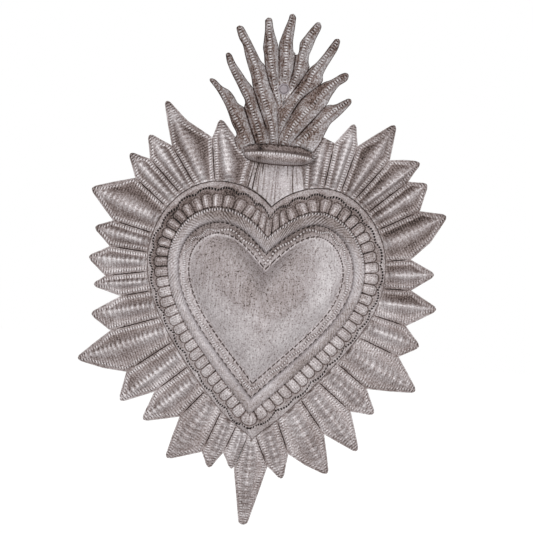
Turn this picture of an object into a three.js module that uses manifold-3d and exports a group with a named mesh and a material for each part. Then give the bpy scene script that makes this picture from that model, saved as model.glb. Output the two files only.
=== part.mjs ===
// Sacred heart wall hanging: chased sheet-metal pieces clinched together, hung by a ring behind the flames.
// Millimetres. +Z is up, the front faces -Y and the wall is the plane y = 0. The origin lies on the wall,
// on the heart's axis and level with the hanger rivet. A level is a height above the wall, towards the front.
import * as THREE from 'three';
import { mergeVertices } from 'three/addons/utils/BufferGeometryUtils.js';
import Module from 'manifold-3d';

// Sheet stock and fits
const SHEET = 0.8;
const LAP_GAP = 0.3; // solder film between laid sheets, or running clearance
const SLOT_GAP = 0.6; // play round a clinch tab in its slot

// Heart outline, the outer edge of the border
const HEART_DROP = 95.5; // from the rivet down to the tops of the lobes
const LOBE_SPACING = 104; // between the tops of the lobes
const NOTCH_DEPTH = 22.5;
const HEART_WIDTH = 239;
const WIDEST_DROP = 80.5; // from the lobe tops down to the widest place
const HEART_HEIGHT = 255; // from the lobe tops down to the tip
const LOBE_EASE = 18; // how long the outline stays level at a lobe's top
const NOTCH_EASE = 22;
const NOTCH_ANGLE = 47; // degrees above level at which the outline leaves the notch
const TIP_ANGLE = 44; // degrees between the axis and a side at the tip
const ROUND = 0.5523; // handle of a quarter round, as a share of its radius
const SIDE_FULLNESS = 0.35; // the same for the side's upper and lower half
const TIP_FULLNESS = 0.41;

// Border from the outline in to the dome
const BORDER_SIDE = 42.5; // at the widest place
const BORDER_TOP = 49; // at the lobe tops
const BORDER_NOTCH = 63;
const BORDER_TIP = 57.5;
const LOBE_DRIFT = 2; // how far the dome's lobe tops lie nearer the axis
const DOME_WIDEST_DROP = 36.5;
const WINDOW_MARGIN = 12.5; // flat root band of the rays behind the border
const FRAME_WIDTH = 24.5; // border sheet, its inner edge under the moulding
const FRAME_RISE = 6;
const MOULDING_START = 21;
const MOULDING_WIDTH = 10.5;
const MOULDING_RISE = 2.8;
const FLANGE_LAP = 3; // the dome's flange under the border sheet
const BEAD_RISE = 1;
const DOME_RISE = 17;
const DOME_CENTRE_DROP = 80; // from the dome's lobe tops down to its highest place

// Rays of the sunburst
const SUN_DROP = 119.5; // from the lobe tops down to the point that the bearings are taken from
const RIB_RISE = 7;
const FLANK_RISE = 2.2;
const RAY_TIP_ROUND = 6; // length of each edge that the rounded tip takes up
// Each tip's bearing in degrees, clockwise from straight up, and its reach beyond the heart's outline
const RAY_TIPS = [
  [15, 57], [22, 73], [31.5, 86], [43, 72], [49, 65], [59.5, 70], [75.5, 51], [87, 60],
  [100.5, 58], [115, 79], [130, 62], [142.5, 79], [154.5, 81], [169, 61], [180, 88], [186, 46],
  [193.5, 62], [207, 82], [221, 72], [231, 79], [248.5, 95], [261.5, 67], [271.5, 58], [280, 61],
  [289.5, 58], [299, 74], [313.5, 62], [321, 65], [329.5, 89], [342, 65],
];
// Between one ray and the next: bearing and reach of the valley, and bearing of the seam's root on the outline
const RAY_JOINS = [
  [19, 50, 23], [26, 51, 30], [36.5, 53, 36.5], [45, 51, 44], [54.5, 46, 52.5], [68.5, 26, 66],
  [80, 29, 78], [94, 36, 91], [106.5, 45, 104.5], [124.5, 40, 124], [136, 45, 140], [150, 46, 154],
  [165.5, 42, 168.5],
  [173.5, 41, 178.5], [184.5, 43, 181.5], [190, 38, 187], [197.5, 53, 196], [211.5, 43, 208], [226, 46, 225],
  [238.5, 58, 242.5], [255, 54, 257.5], [268, 33, 271.5], [275, 45, 280.5], [285.5, 40, 289], [294, 42, 297.5],
  [309.5, 42, 310], [317, 45, 318], [325, 45, 325], [338, 45, 333.5],
];

// Clinch tabs
const TAB_WIDTH = 8;
const TAB_FOOT = 5;
const TAB_INSET = 6; // from the outline in to a border tab's leg
const FRAME_TABS = [0.08, 0.22, 0.34, 0.45]; // places round half of the heart, from the notch to the tip

// Crown: seat, neck, collar and flames
const CROWN_X = 2; // the crown sits this far to the right of the heart's axis
const COLLAR_DROP = 66; // from the rivet down to the middle of the collar
const COLLAR_LENGTH = 69;
const COLLAR_HEIGHT = 21;
const COLLAR_RISE = 11.5;
const COLLAR_TAB_OFFSET = 18; // from the collar's middle out to a tab
const COLLAR_TAB_LIFT = -1; // tabs sit this far above the collar's middle
const COLLAR_TAB_REACH = 0.9; // how far up the hollow collar a tab is rooted, as a share of its rise
const SEAT_WIDTH = 54;
const SEAT_ROOT = [345.5, 14.5]; // bearings of the seat's corners on the heart's outline
const SEAT_COVER = 7; // how far collar and seat overlap below and above the collar's middle
const NECK_TOP_WIDTH = 49;
const NECK_FOOT_WIDTH = 58;
const NECK_RISE = 3.5;
const NECK_COVER = 3; // hidden under the collar's lower edge
const NECK_GAP = 0.6; // between the neck and the border of the heart

const FLAME_LEAN = 3.2; // degrees that the flames lean forward
const FLAME_RISE = 4;
const TAIL_WIDTH = 50;
const TAIL_DEPTH = 5; // from the collar's middle down to the end of the tail
// Ridge of each tongue from root to tip: across, up and half width, from the collar's middle
const TONGUES = [
  [[-28, 5, 8], [-36, 18, 8], [-42, 33, 7.5], [-56.5, 56, 5], [-65, 63, 4], [-74, 69, 3]],
  [[-16, 6, 6.5], [-22.5, 28, 6.5], [-29, 45, 6], [-35.5, 60, 5.5], [-44.5, 73.5, 4.6], [-52.5, 85, 4],
    [-58, 96, 3]],
  [[-4, 6, 5], [-10.5, 39, 6], [-17, 59, 6.5], [-25, 76, 7], [-37, 99.5, 5.5], [-43, 111, 4.5],
    [-49, 122.5, 3.3]],
  [[-3, 48, 2.5], [-7, 65, 5], [-14.5, 94, 7], [-17, 109, 7], [-19.5, 122, 4.7], [-22, 133.5, 3.3]],
  [[1, 74, 5], [1, 90, 7.5], [0, 103, 7], [-1, 115, 6.7], [0.5, 128, 5], [1.5, 139, 3.5]],
  [[1, 55, 2.5], [7, 68, 4.5], [12, 80, 6], [16, 105, 6.3], [19, 116, 6], [24.5, 125, 5], [28.5, 132.5, 3.3]],
  [[-1.5, 28, 3], [4, 41, 5], [12, 53.5, 6.5], [29, 82, 7], [34, 92.5, 6], [45, 111, 4], [50, 118, 3.3]],
  [[5, 6, 6], [10.5, 25, 7], [21, 40, 7.5], [33, 55, 7.5], [42, 66, 6.5], [55, 80, 4.2], [61.5, 84.5, 3]],
  [[20, 6, 7.5], [28, 22.5, 7.5], [37, 32.5, 7], [45.5, 42, 6], [59, 55, 3.5], [66, 60, 2.8]],
];
// Plain sheet that the tongues stand on, from the collar's middle
const FLAME_WEB = [[30, 10], [30, 26], [22, 45], [10, 80], [-9, 80], [-22, 50], [-34, 20], [-30, 10]];

// Hanger behind the flames
const RIVET_RADIUS = 2;
const RIVET_HEAD_RADIUS = 4.2;
const RIVET_HEAD = 1.2;
const RIVET_TAIL_RADIUS = 3.4;
const RIVET_TAIL = 1;
const WASHER_RADIUS = 5.8;
const WASHER = 0.6;
const LAND_MARGIN = 0.5; // flat land in the flames, beyond the washer's rim
const STRAP_WIDTH = 10;
const STRAP_END = 5.5; // from the rivet down to the strap's ends
const BAR_RISE = 7.5; // from the rivet up to the ring's bar
const WIRE_RADIUS = 1.2;
const RING_SIDE_PLAY = 1; // between the strap's edge and the ring's leg
const RING_LENGTH = 24;
const RING_CORNER = 2;

// Facets
const HALF_STATIONS = [5, 7, 10]; // notch to lobe top, to the widest place, to the tip
const WIRE_SIDES = 8;
const TONGUE_STEPS = 8;
const ROUND_STEPS = 24;
const MERGE = 1e-3;

// Levels, from the wall forwards
const RAY_BACK = SHEET + LAP_GAP; // clears the feet of the clinch tabs
const RAY_FLAT = RAY_BACK + SHEET;
const LAID = RAY_FLAT + LAP_GAP + SHEET; // front of a sheet laid on the ray plate
const FRAME_TOP = LAID + FRAME_RISE;
const FLANGE = FRAME_TOP - SHEET - LAP_GAP;
const LOBE_TOP_Z = -HEART_DROP;
const COLLAR_Z = -COLLAR_DROP;

const wasm = await Module();
wasm.setup();

const spot = (x, z) => new THREE.Vector2(x, z);
const raise = (place, level) => new THREE.Vector3(place.x, -level, place.y);
const mix = (from, to, share) => from.clone().lerp(to, share);
const radians = THREE.MathUtils.degToRad;

// The flames lean about the collar's middle, the end of their tail on the seat, and the collar clears them.
const lean = radians(FLAME_LEAN);
const flameSeat = RAY_FLAT + LAP_GAP + TAIL_DEPTH * Math.sin(lean);
const collarRim = flameSeat + COLLAR_HEIGHT / 2 * Math.sin(lean) + 2 * SHEET + LAP_GAP;

function toSolid(geometry) {
  const bare = geometry.clone();
  bare.deleteAttribute('normal');
  bare.deleteAttribute('uv');
  const merged = mergeVertices(bare, MERGE);
  return new wasm.Manifold(new wasm.Mesh({
    numProp: 3,
    vertProperties: new Float32Array(merged.attributes.position.array),
    triVerts: new Uint32Array(merged.index.array),
  }));
}

function toGeometry(solid) {
  const { vertProperties, triVerts } = solid.getMesh();
  const geometry = new THREE.BufferGeometry();
  geometry.setAttribute('position', new THREE.BufferAttribute(vertProperties, 3));
  geometry.setIndex(new THREE.BufferAttribute(triVerts, 1));
  return geometry;
}

// A sheet is drawn as its front surface: strips of triangles between rows of points, all facing -Y.
function drawStrips(rows) {
  const corners = [];
  const triangle = (a, b, c) => {
    const area = (b.x - a.x) * (c.z - a.z) - (c.x - a.x) * (b.z - a.z);
    if (Math.abs(area) > MERGE * MERGE) {
      corners.push(...(area > 0 ? [a, b, c] : [a, c, b]));
    }
  };
  for (let r = 0; r + 1 < rows.length; r += 1) {
    const near = rows[r];
    const far = rows[r + 1];
    for (let i = 0; i + 1 < near.length; i += 1) {
      triangle(near[i], near[i + 1], far[i + 1]);
      triangle(near[i], far[i + 1], far[i]);
    }
  }
  return corners;
}

// Closes a front surface with a back: one sheet behind it, or flat on the plane y = 0.
function closeBehind(corners, backOf) {
  const front = mergeVertices(new THREE.BufferGeometry().setFromPoints(corners), MERGE);
  const count = front.attributes.position.count;
  const points = front.attributes.position.array;
  const index = front.index.array;
  const positions = new Float32Array(count * 6);
  for (let i = 0; i < count; i += 1) {
    const [x, y, z] = points.slice(3 * i, 3 * i + 3);
    positions.set([x, y, z], 3 * i);
    positions.set([x, backOf(y), z], 3 * (count + i));
  }
  const triangles = [];
  const edges = new Map();
  for (let t = 0; t < index.length; t += 3) {
    const [a, b, c] = index.slice(t, t + 3);
    triangles.push(a, b, c, count + c, count + b, count + a);
    [[a, b], [b, c], [c, a]].forEach(([from, to]) => edges.set(`${from} ${to}`, [from, to]));
  }
  for (const [from, to] of edges.values()) {
    if (!edges.has(`${to} ${from}`)) {
      triangles.push(to, from, count + from, to, count + from, count + to);
    }
  }
  const geometry = new THREE.BufferGeometry();
  geometry.setAttribute('position', new THREE.BufferAttribute(positions, 3));
  geometry.setIndex(triangles);
  return geometry;
}

const pressSheet = (corners) => closeBehind(corners, (y) => y + SHEET);
const pressBlock = (corners) => closeBehind(corners, () => 0);

// Half a heart from the notch over the lobe to the widest place and down to the tip
function halfHeart({ lobe, wide, notch, tip }) {
  const leave = radians(NOTCH_ANGLE);
  const arrive = radians(TIP_ANGLE);
  const drop = wide.y - tip.y;
  const side = wide.distanceTo(tip) * TIP_FULLNESS;
  return [
    new THREE.CubicBezierCurve(
      notch,
      spot(NOTCH_EASE * Math.cos(leave), notch.y + NOTCH_EASE * Math.sin(leave)),
      spot(lobe.x - LOBE_EASE, lobe.y),
      lobe,
    ),
    new THREE.CubicBezierCurve(
      lobe,
      spot(lobe.x + ROUND * (wide.x - lobe.x), lobe.y),
      spot(wide.x, wide.y + ROUND * (lobe.y - wide.y)),
      wide,
    ),
    new THREE.CubicBezierCurve(
      wide,
      spot(wide.x, wide.y - SIDE_FULLNESS * drop),
      spot(side * Math.sin(arrive), tip.y + side * Math.cos(arrive)),
      tip,
    ),
  ];
}

const domeLobe = spot(LOBE_SPACING / 2 - LOBE_DRIFT, LOBE_TOP_Z - BORDER_TOP);
const outline = halfHeart({
  lobe: spot(LOBE_SPACING / 2, LOBE_TOP_Z),
  wide: spot(HEART_WIDTH / 2, LOBE_TOP_Z - WIDEST_DROP),
  notch: spot(0, LOBE_TOP_Z - NOTCH_DEPTH),
  tip: spot(0, LOBE_TOP_Z - HEART_HEIGHT),
});
const domeEdge = halfHeart({
  lobe: domeLobe,
  wide: spot(HEART_WIDTH / 2 - BORDER_SIDE, domeLobe.y - DOME_WIDEST_DROP),
  notch: spot(0, LOBE_TOP_Z - NOTCH_DEPTH - BORDER_NOTCH),
  tip: spot(0, LOBE_TOP_Z - HEART_HEIGHT + BORDER_TIP),
});

// Place on the heart: turn runs clockwise from the notch, 0 to 1; inset is measured at the widest place.
const totalStations = HALF_STATIONS.reduce((sum, n) => sum + n, 0);
const lobeShare = HALF_STATIONS[0] / totalStations;
const wideShare = (HALF_STATIONS[0] + HALF_STATIONS[1]) / totalStations;
function heartPoint(turn, inset) {
  const side = turn <= 0.5 ? 1 : -1;
  const along = side > 0 ? turn * 2 : (1 - turn) * 2;
  const ends = [0, lobeShare, wideShare, 1];
  const piece = along < lobeShare ? 0 : along < wideShare ? 1 : 2;
  const t = (along - ends[piece]) / (ends[piece + 1] - ends[piece]);
  const place = mix(outline[piece].getPoint(t), domeEdge[piece].getPoint(t), inset / BORDER_SIDE);
  return spot(side * place.x, place.y);
}

const stations = [...Array(2 * totalStations + 1).keys()].map((i) => i / (2 * totalStations));
const heartRow = (inset, level) => stations.map((turn) => raise(heartPoint(turn, inset), level));

const sun = spot(0, LOBE_TOP_Z - SUN_DROP);
const heading = (bearing) => spot(Math.sin(radians(bearing)), Math.cos(radians(bearing)));
function turnAt(bearing) {
  const folded = radians(bearing <= 180 ? bearing : 360 - bearing);
  let low = 0;
  let high = 0.5;
  for (let step = 0; step < 40; step += 1) {
    const middle = (low + high) / 2;
    const place = heartPoint(middle, 0).sub(sun);
    if (Math.atan2(place.x, place.y) < folded) {
      low = middle;
    } else {
      high = middle;
    }
  }
  return bearing <= 180 ? low : 1 - low;
}

function beyondOutline([bearing, reach]) {
  const radius = heartPoint(turnAt(bearing), 0).distanceTo(sun) + reach;
  return sun.clone().addScaledVector(heading(bearing), radius);
}

// Clinch tab: a leg towards the wall, and a foot folded over behind the ray plate
function clinchTab({ place, inward, width, foot, top }) {
  const leg = new THREE.BoxGeometry(width, top, SHEET).translate(0, -top / 2, 0);
  const fold = new THREE.BoxGeometry(width, SHEET, foot).translate(0, -SHEET / 2, (foot - SHEET) / 2);
  const tab = toGeometry(toSolid(leg).add(toSolid(fold)));
  return toSolid(tab.applyMatrix4(standing(place, inward)));
}

function standing(place, inward) {
  const z = new THREE.Vector3(inward.x, 0, inward.y);
  const y = new THREE.Vector3(0, 1, 0);
  const x = new THREE.Vector3().crossVectors(y, z);
  return new THREE.Matrix4().makeBasis(x, y, z).setPosition(place.x, 0, place.y);
}

const frameTabs = FRAME_TABS.flatMap((turn) => [turn, 1 - turn]).map((turn) => {
  const place = heartPoint(turn, TAB_INSET);
  const inward = heartPoint(turn, BORDER_SIDE).sub(place).normalize();
  return { place, inward, width: TAB_WIDTH };
});
const collarTabs = [-1, 1].map((side) => ({
  place: spot(CROWN_X + side * COLLAR_TAB_OFFSET, COLLAR_Z + COLLAR_TAB_LIFT),
  inward: spot(0, -1),
  width: TAB_WIDTH,
}));

// Slot for a tab, cut through every sheet up to a level
function tabSlot({ place, inward, width }, level) {
  const box = new THREE.BoxGeometry(width + 2 * SLOT_GAP, level + SHEET, SHEET + 2 * SLOT_GAP);
  return toSolid(box.translate(0, (SHEET - level) / 2, 0).applyMatrix4(standing(place, inward)));
}

const cutAll = (solid, cutters) => cutters.reduce((rest, cutter) => rest.subtract(cutter), solid);
const joinAll = (solids) => solids.reduce((sum, solid) => sum.add(solid));

// Ray plate: flat root band and seat, rays with a rib and low flanks
const ACROSS = [-1, -0.5, 0, 0.5, 1];
const TIP_LIMIT = 0.4; // a tip is rounded over at most this share of an edge
const ACROSS_RISE = [0, FLANK_RISE, RIB_RISE, FLANK_RISE, 0];
const ALONG_RISE = [0, 1, 1, 0.75, 0.15];
const RIB_START = 0.15;
const SHOULDER = 0.6;

function bandRows(turns) {
  return [WINDOW_MARGIN, 0].map((inset) => turns.map((turn) => raise(heartPoint(turn, inset), RAY_FLAT)));
}

function rayCorners(tipAt, left, right) {
  const turns = ACROSS.map((c) => turnAt(THREE.MathUtils.lerp(left.seam, right.seam, (c + 1) / 2)));
  const root = turns.map((turn) => heartPoint(turn, 0));
  const tip = beyondOutline(tipAt);
  const [from, to] = [left, right].map(({ valley }) => {
    const edge = tip.distanceTo(valley);
    return mix(tip, valley, Math.min(RAY_TIP_ROUND / edge, TIP_LIMIT));
  });
  const tips = ACROSS.map((c) => new THREE.QuadraticBezierCurve(from, tip, to).getPoint((c + 1) / 2));
  const rib = mix(root[2], tip, 0.5);
  const middle = [left.valley, mix(left.valley, rib, 0.5), rib, mix(rib, right.valley, 0.5), right.valley];
  const between = (near, far, share) => near.map((place, i) => mix(place, far[i], share));
  const places = [root, between(root, middle, RIB_START), middle, between(middle, tips, SHOULDER), tips];
  const rows = places.map((row, r) => row.map(
    (place, i) => raise(place, RAY_FLAT + ALONG_RISE[r] * ACROSS_RISE[i]),
  ));
  return [...drawStrips(bandRows(turns)), ...drawStrips(rows)];
}

const seatSpot = (c, up) => spot(CROWN_X + c * SEAT_WIDTH / 2, COLLAR_Z + up * SEAT_COVER);
function seatCorners() {
  const [from, to] = SEAT_ROOT;
  const turns = [from, (from + 360) / 2, 360, to / 2, to].map(turnAt);
  const edge = (up) => ACROSS.map((c) => raise(seatSpot(c, up), RAY_FLAT));
  return drawStrips([...bandRows(turns), edge(-1), edge(1)]);
}

function rayPlate() {
  const joins = [
    { seam: SEAT_ROOT[1], valley: seatSpot(1, -1) },
    ...RAY_JOINS.map(([bearing, reach, seam]) => ({ seam, valley: beyondOutline([bearing, reach]) })),
    { seam: SEAT_ROOT[0], valley: seatSpot(-1, -1) },
  ];
  const rays = RAY_TIPS.flatMap((tip, i) => rayCorners(tip, joins[i], joins[i + 1]));
  const slots = [...frameTabs, ...collarTabs].map((tab) => tabSlot(tab, LAID));
  return toGeometry(cutAll(toSolid(pressSheet([...rays, ...seatCorners()])), slots));
}

// Border sheet, rising from the outline to the moulding
const FRAME_STEPS = [0, 0.15, 0.4, 0.7, 1];
const frameLevel = (inset) => LAID + FRAME_RISE * Math.sin(Math.PI / 2 * Math.min(1, inset / MOULDING_START));

function heartFrame() {
  const insets = [...FRAME_STEPS.map((share) => share * MOULDING_START), FRAME_WIDTH];
  const sheet = pressSheet(drawStrips(insets.map((inset) => heartRow(inset, frameLevel(inset)))));
  const top = frameLevel(TAB_INSET) - SHEET / 2;
  const tabs = frameTabs.map((tab) => clinchTab({ ...tab, foot: TAB_FOOT, top }));
  return toGeometry(joinAll([toSolid(sheet), ...tabs]));
}

// Moulding: a half-round strip over the seam between border and dome
const MOULDING_STEPS = 6;

function ropeMoulding() {
  const rows = [...Array(MOULDING_STEPS + 1).keys()].map((step) => {
    const share = step / MOULDING_STEPS;
    const inset = MOULDING_START + MOULDING_WIDTH * (1 - Math.cos(Math.PI * share)) / 2;
    const foot = THREE.MathUtils.lerp(FRAME_TOP, FLANGE, share) + LAP_GAP + SHEET;
    return heartRow(inset, foot + MOULDING_RISE * Math.sin(Math.PI * share));
  });
  return pressSheet(drawStrips(rows));
}

// Dome: flat flange under the border, bead band, and a swelling heart
const DOME_STEPS = [0.1, 0.24, 0.42, 0.64, 0.84, 1];
const DOME_FULLNESS = 2.2;

function heartDome() {
  const bandStart = MOULDING_START + MOULDING_WIDTH;
  const foot = FLANGE + BEAD_RISE / 2;
  const centre = spot(0, domeLobe.y - DOME_CENTRE_DROP);
  const swell = (share) => stations.map((turn) => raise(
    mix(heartPoint(turn, BORDER_SIDE), centre, share),
    foot + DOME_RISE * (1 - (1 - share) ** DOME_FULLNESS),
  ));
  return pressSheet(drawStrips([
    heartRow(FRAME_WIDTH - FLANGE_LAP, FLANGE),
    heartRow(bandStart, FLANGE),
    heartRow((bandStart + BORDER_SIDE) / 2, FLANGE + BEAD_RISE),
    heartRow(BORDER_SIDE, foot),
    ...DOME_STEPS.map(swell),
  ]));
}

// Flames: tongues pressed from one sheet, built flat and then leant forward about the collar's middle
const flames = new THREE.Group();
flames.position.set(CROWN_X, -flameSeat, COLLAR_Z);
flames.rotation.x = lean;
flames.updateMatrix();
const TONGUE_ACROSS = [-1, 0, 1];
const TONGUE_FADE = [0.14, 0.7, 0.45]; // shares of the ridge: full from, full to, and what is left at the tip
// The rounded tip, in half widths of the last point: how far beyond it, and half width
const TONGUE_TIP = [[0.6, 0.8], [1, 0.3]];

function tongue(points) {
  const ridge = new THREE.CatmullRomCurve3(points.map(([x, z, half]) => new THREE.Vector3(x, half, z)));
  const [from, to, left] = TONGUE_FADE;
  const rows = [...Array(TONGUE_STEPS + 1).keys()].map((step) => {
    const share = step / TONGUE_STEPS;
    const { x, y, z } = ridge.getPoint(share);
    const ahead = ridge.getTangent(share);
    const fade = share < from ? share / from : 1 - (1 - left) * Math.max(0, (share - to) / (1 - to));
    return { place: spot(x, z), ahead: spot(ahead.x, ahead.z).normalize(), half: y, fade };
  });
  const last = rows.at(-1);
  TONGUE_TIP.forEach(([beyond, half]) => rows.push({
    ...last,
    place: last.place.clone().addScaledVector(last.ahead, beyond * last.half),
    half: half * last.half,
    fade: half * last.fade,
  }));
  return toSolid(pressBlock(drawStrips(rows.map(({ place, ahead, half, fade }) => TONGUE_ACROSS.map((c) => raise(
    place.clone().addScaledVector(spot(ahead.y, -ahead.x), c * half),
    SHEET + (c === 0 ? FLAME_RISE * fade : 0),
  ))))));
}

// Turned about the rivet's axis, from the front backwards
function lathe(profile) {
  const turned = new THREE.LatheGeometry(profile.map(([radius, y]) => spot(radius, y)), ROUND_STEPS);
  return turned.translate(0, 0, COLLAR_DROP);
}

const BORE = RIVET_RADIUS + LAP_GAP;
const BORE_REACH = 10; // to either side of the flames, beyond all that the rivet goes through
const rivetBore = toSolid(lathe([[0, -BORE_REACH], [BORE, -BORE_REACH], [BORE, BORE_REACH], [0, BORE_REACH]]));

const LAND_DEPTH = 8;
function flameSpray() {
  const web = new THREE.Shape([
    [-TAIL_WIDTH / 2, -TAIL_DEPTH], [TAIL_WIDTH / 2, -TAIL_DEPTH], ...FLAME_WEB,
  ].map(([x, z]) => spot(x, z)));
  const plate = new THREE.ExtrudeGeometry(web, { depth: SHEET, bevelEnabled: false }).rotateX(Math.PI / 2);
  const land = WASHER_RADIUS + LAND_MARGIN;
  const dishTop = -SHEET - LAND_DEPTH;
  const dish = lathe([[0, dishTop], [land + LAND_DEPTH, dishTop], [land, -SHEET], [0, -SHEET]]);
  const raised = joinAll([toSolid(plate), ...TONGUES.map(tongue)]).subtract(toSolid(dish));
  const sheet = raised.subtract(raised.translate(0, SHEET, 0));
  const slots = collarTabs.map((tab) => toSolid(
    toGeometry(tabSlot(tab, collarRim)).applyMatrix4(flames.matrix.clone().invert()),
  ));
  return toGeometry(cutAll(sheet, [rivetBore, ...slots]));
}

// Neck: a bowed sheet from under the collar down to the notch
const NECK_ROWS = [[0, 0], [0.12, 0], [0.4, 1], [0.75, 0.9], [1, 0.4]]; // shares of the length and of the bow
const NECK_ACROSS = [-1, -0.66, -0.33, 0, 0.33, 0.66, 1];

function outlineHeight(x) {
  let low = 0;
  let high = 1;
  for (let step = 0; step < 40; step += 1) {
    const middle = (low + high) / 2;
    if (outline[0].getPoint(middle).x < Math.abs(x)) {
      low = middle;
    } else {
      high = middle;
    }
  }
  return outline[0].getPoint(low).y;
}

function neckPlate() {
  const topZ = COLLAR_Z - COLLAR_HEIGHT / 2 + NECK_COVER;
  const topLevel = collarRim - SHEET - LAP_GAP;
  const rows = NECK_ROWS.map(([share, bow]) => NECK_ACROSS.map((c) => {
    const top = spot(CROWN_X + c * NECK_TOP_WIDTH / 2, topZ);
    const footX = CROWN_X + c * NECK_FOOT_WIDTH / 2;
    const foot = spot(footX, outlineHeight(footX) + NECK_GAP);
    const level = THREE.MathUtils.lerp(topLevel, LAID, share) + NECK_RISE * bow * (1 - c * c);
    return raise(mix(top, foot, share), level);
  }));
  return pressSheet(drawStrips(rows));
}

// Collar: a hollow bolster with a groove above it, tapering to both ends; its upper rim clears the tongues
const COLLAR_SECTION = [ // shares of the height from the middle and of the rise, from the upper rim down
  [0.5, FLAME_RISE / COLLAR_RISE], [0.4, 0.26], [0.24, 0.3], [0.15, 0.72],
  [0.05, 0.93], [-0.14, 1], [-0.33, 0.8], [-0.5, 0],
];
const COLLAR_PLACES = [-0.985, -0.9, -0.72, -0.45, -0.15, 0.15, 0.45, 0.72, 0.9, 0.985];
const COLLAR_ROUND = 3.5;

function collarBand() {
  const fullness = (c) => (1 - Math.abs(c) ** COLLAR_ROUND) ** (1 / COLLAR_ROUND);
  const rows = COLLAR_SECTION.map(([up, rise]) => COLLAR_PLACES.map((c) => raise(
    spot(CROWN_X + c * COLLAR_LENGTH / 2, COLLAR_Z + up * fullness(c) * COLLAR_HEIGHT),
    collarRim + rise * fullness(c) * COLLAR_RISE,
  )));
  const top = collarRim + COLLAR_TAB_REACH * COLLAR_RISE;
  const tabs = collarTabs.map((tab) => clinchTab({ ...tab, foot: TAB_FOOT, top }));
  return toGeometry(joinAll([toSolid(pressSheet(drawStrips(rows))), ...tabs]));
}

// Rivet and washer, in the flames' own frame: the sheet's back is y = 0 and its land faces y = -SHEET
const washerBack = -SHEET - LAP_GAP;
const headBack = washerBack - WASHER - LAP_GAP;
const tailFront = 2 * SHEET + 3 * LAP_GAP;
const HEAD_EDGE = 0.4;

function hangerRivet() {
  return lathe([
    [0, headBack - RIVET_HEAD], [RIVET_HEAD_RADIUS - HEAD_EDGE, headBack - RIVET_HEAD],
    [RIVET_HEAD_RADIUS, headBack - RIVET_HEAD + HEAD_EDGE], [RIVET_HEAD_RADIUS, headBack],
    [RIVET_RADIUS, headBack], [RIVET_RADIUS, tailFront],
    [RIVET_TAIL_RADIUS, tailFront], [RIVET_TAIL_RADIUS, tailFront + RIVET_TAIL], [0, tailFront + RIVET_TAIL],
  ]);
}

function rivetWasher() {
  return lathe([
    [BORE, washerBack - WASHER], [WASHER_RADIUS, washerBack - WASHER],
    [WASHER_RADIUS, washerBack], [BORE, washerBack], [BORE, washerBack - WASHER],
  ]);
}

// Strap: a strip folded round the ring's bar, both ends on the rivet
const foldRadius = WIRE_RADIUS + LAP_GAP + SHEET / 2; // along the middle of the strip
const barY = LAP_GAP + SHEET / 2 + foldRadius;
const barZ = COLLAR_DROP + BAR_RISE;
const FOLD_STEPS = 12;
const FOLD_SWEEP = 1.25 * Math.PI;

function hangerStrap() {
  const endZ = COLLAR_DROP - STRAP_END;
  const backY = 2 * LAP_GAP + 1.5 * SHEET;
  const fold = [...Array(FOLD_STEPS + 1).keys()].map((step) => {
    const angle = Math.PI - FOLD_SWEEP * step / FOLD_STEPS;
    return spot(barY + foldRadius * Math.cos(angle), barZ + foldRadius * Math.sin(angle));
  });
  const middle = [
    spot(barY - foldRadius, endZ), ...fold,
    spot(backY, COLLAR_DROP + RIVET_TAIL_RADIUS), spot(backY, endZ),
  ];
  const offset = (side) => middle.map((place, i) => {
    const before = place.clone().sub(middle[Math.max(0, i - 1)]).normalize();
    const after = middle[Math.min(middle.length - 1, i + 1)].clone().sub(place).normalize();
    const ahead = before.add(after).normalize();
    return place.clone().addScaledVector(spot(-ahead.y, ahead.x), side * SHEET / 2);
  });
  const section = new THREE.Shape([...offset(1), ...offset(-1).reverse()]);
  const strip = new THREE.ExtrudeGeometry(section, { depth: STRAP_WIDTH, bevelEnabled: false });
  const acrossX = new THREE.Matrix4().makeBasis(
    new THREE.Vector3(0, 1, 0), new THREE.Vector3(0, 0, 1), new THREE.Vector3(1, 0, 0),
  );
  strip.translate(0, 0, -STRAP_WIDTH / 2).applyMatrix4(acrossX);
  return toGeometry(toSolid(strip).subtract(rivetBore));
}

// Ring: wire bent to a D, its straight bar in the strap's fold, hanging down
function hangingRing() {
  const half = STRAP_WIDTH / 2 + RING_SIDE_PLAY + WIRE_RADIUS;
  const route = new THREE.Path();
  route.moveTo(half - RING_CORNER, 0);
  route.absarc(half - RING_CORNER, -RING_CORNER, RING_CORNER, Math.PI / 2, 0, true);
  route.absarc(0, half - RING_LENGTH, half, 0, -Math.PI, true);
  route.absarc(RING_CORNER - half, -RING_CORNER, RING_CORNER, Math.PI, Math.PI / 2, true);
  const path = route.getPoints(4).filter((p, i, all) => i === 0 || p.distanceTo(all[i - 1]) > MERGE);
  const count = path.length;
  const positions = path.flatMap((place, i) => {
    const ahead = path[(i + 1) % count].clone().sub(path[(i + count - 1) % count]).normalize();
    const aside = spot(-ahead.y, ahead.x);
    return [...Array(WIRE_SIDES).keys()].flatMap((s) => {
      const angle = 2 * Math.PI * s / WIRE_SIDES;
      const at = place.clone().addScaledVector(aside, WIRE_RADIUS * Math.cos(angle));
      return [at.x, barY + WIRE_RADIUS * Math.sin(angle), barZ + at.y];
    });
  });
  const index = path.flatMap((_, i) => [...Array(WIRE_SIDES).keys()].flatMap((s) => {
    const [a, b] = [i, (i + 1) % count].map((ring) => ring * WIRE_SIDES);
    const next = (s + 1) % WIRE_SIDES;
    return [a + s, b + s, b + next, a + s, b + next, a + next];
  }));
  const geometry = new THREE.BufferGeometry();
  geometry.setAttribute('position', new THREE.BufferAttribute(new Float32Array(positions), 3));
  geometry.setIndex(index);
  return geometry;
}

// The hanging, put together
const hanging = new THREE.Group();
hanging.add(flames);

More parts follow.
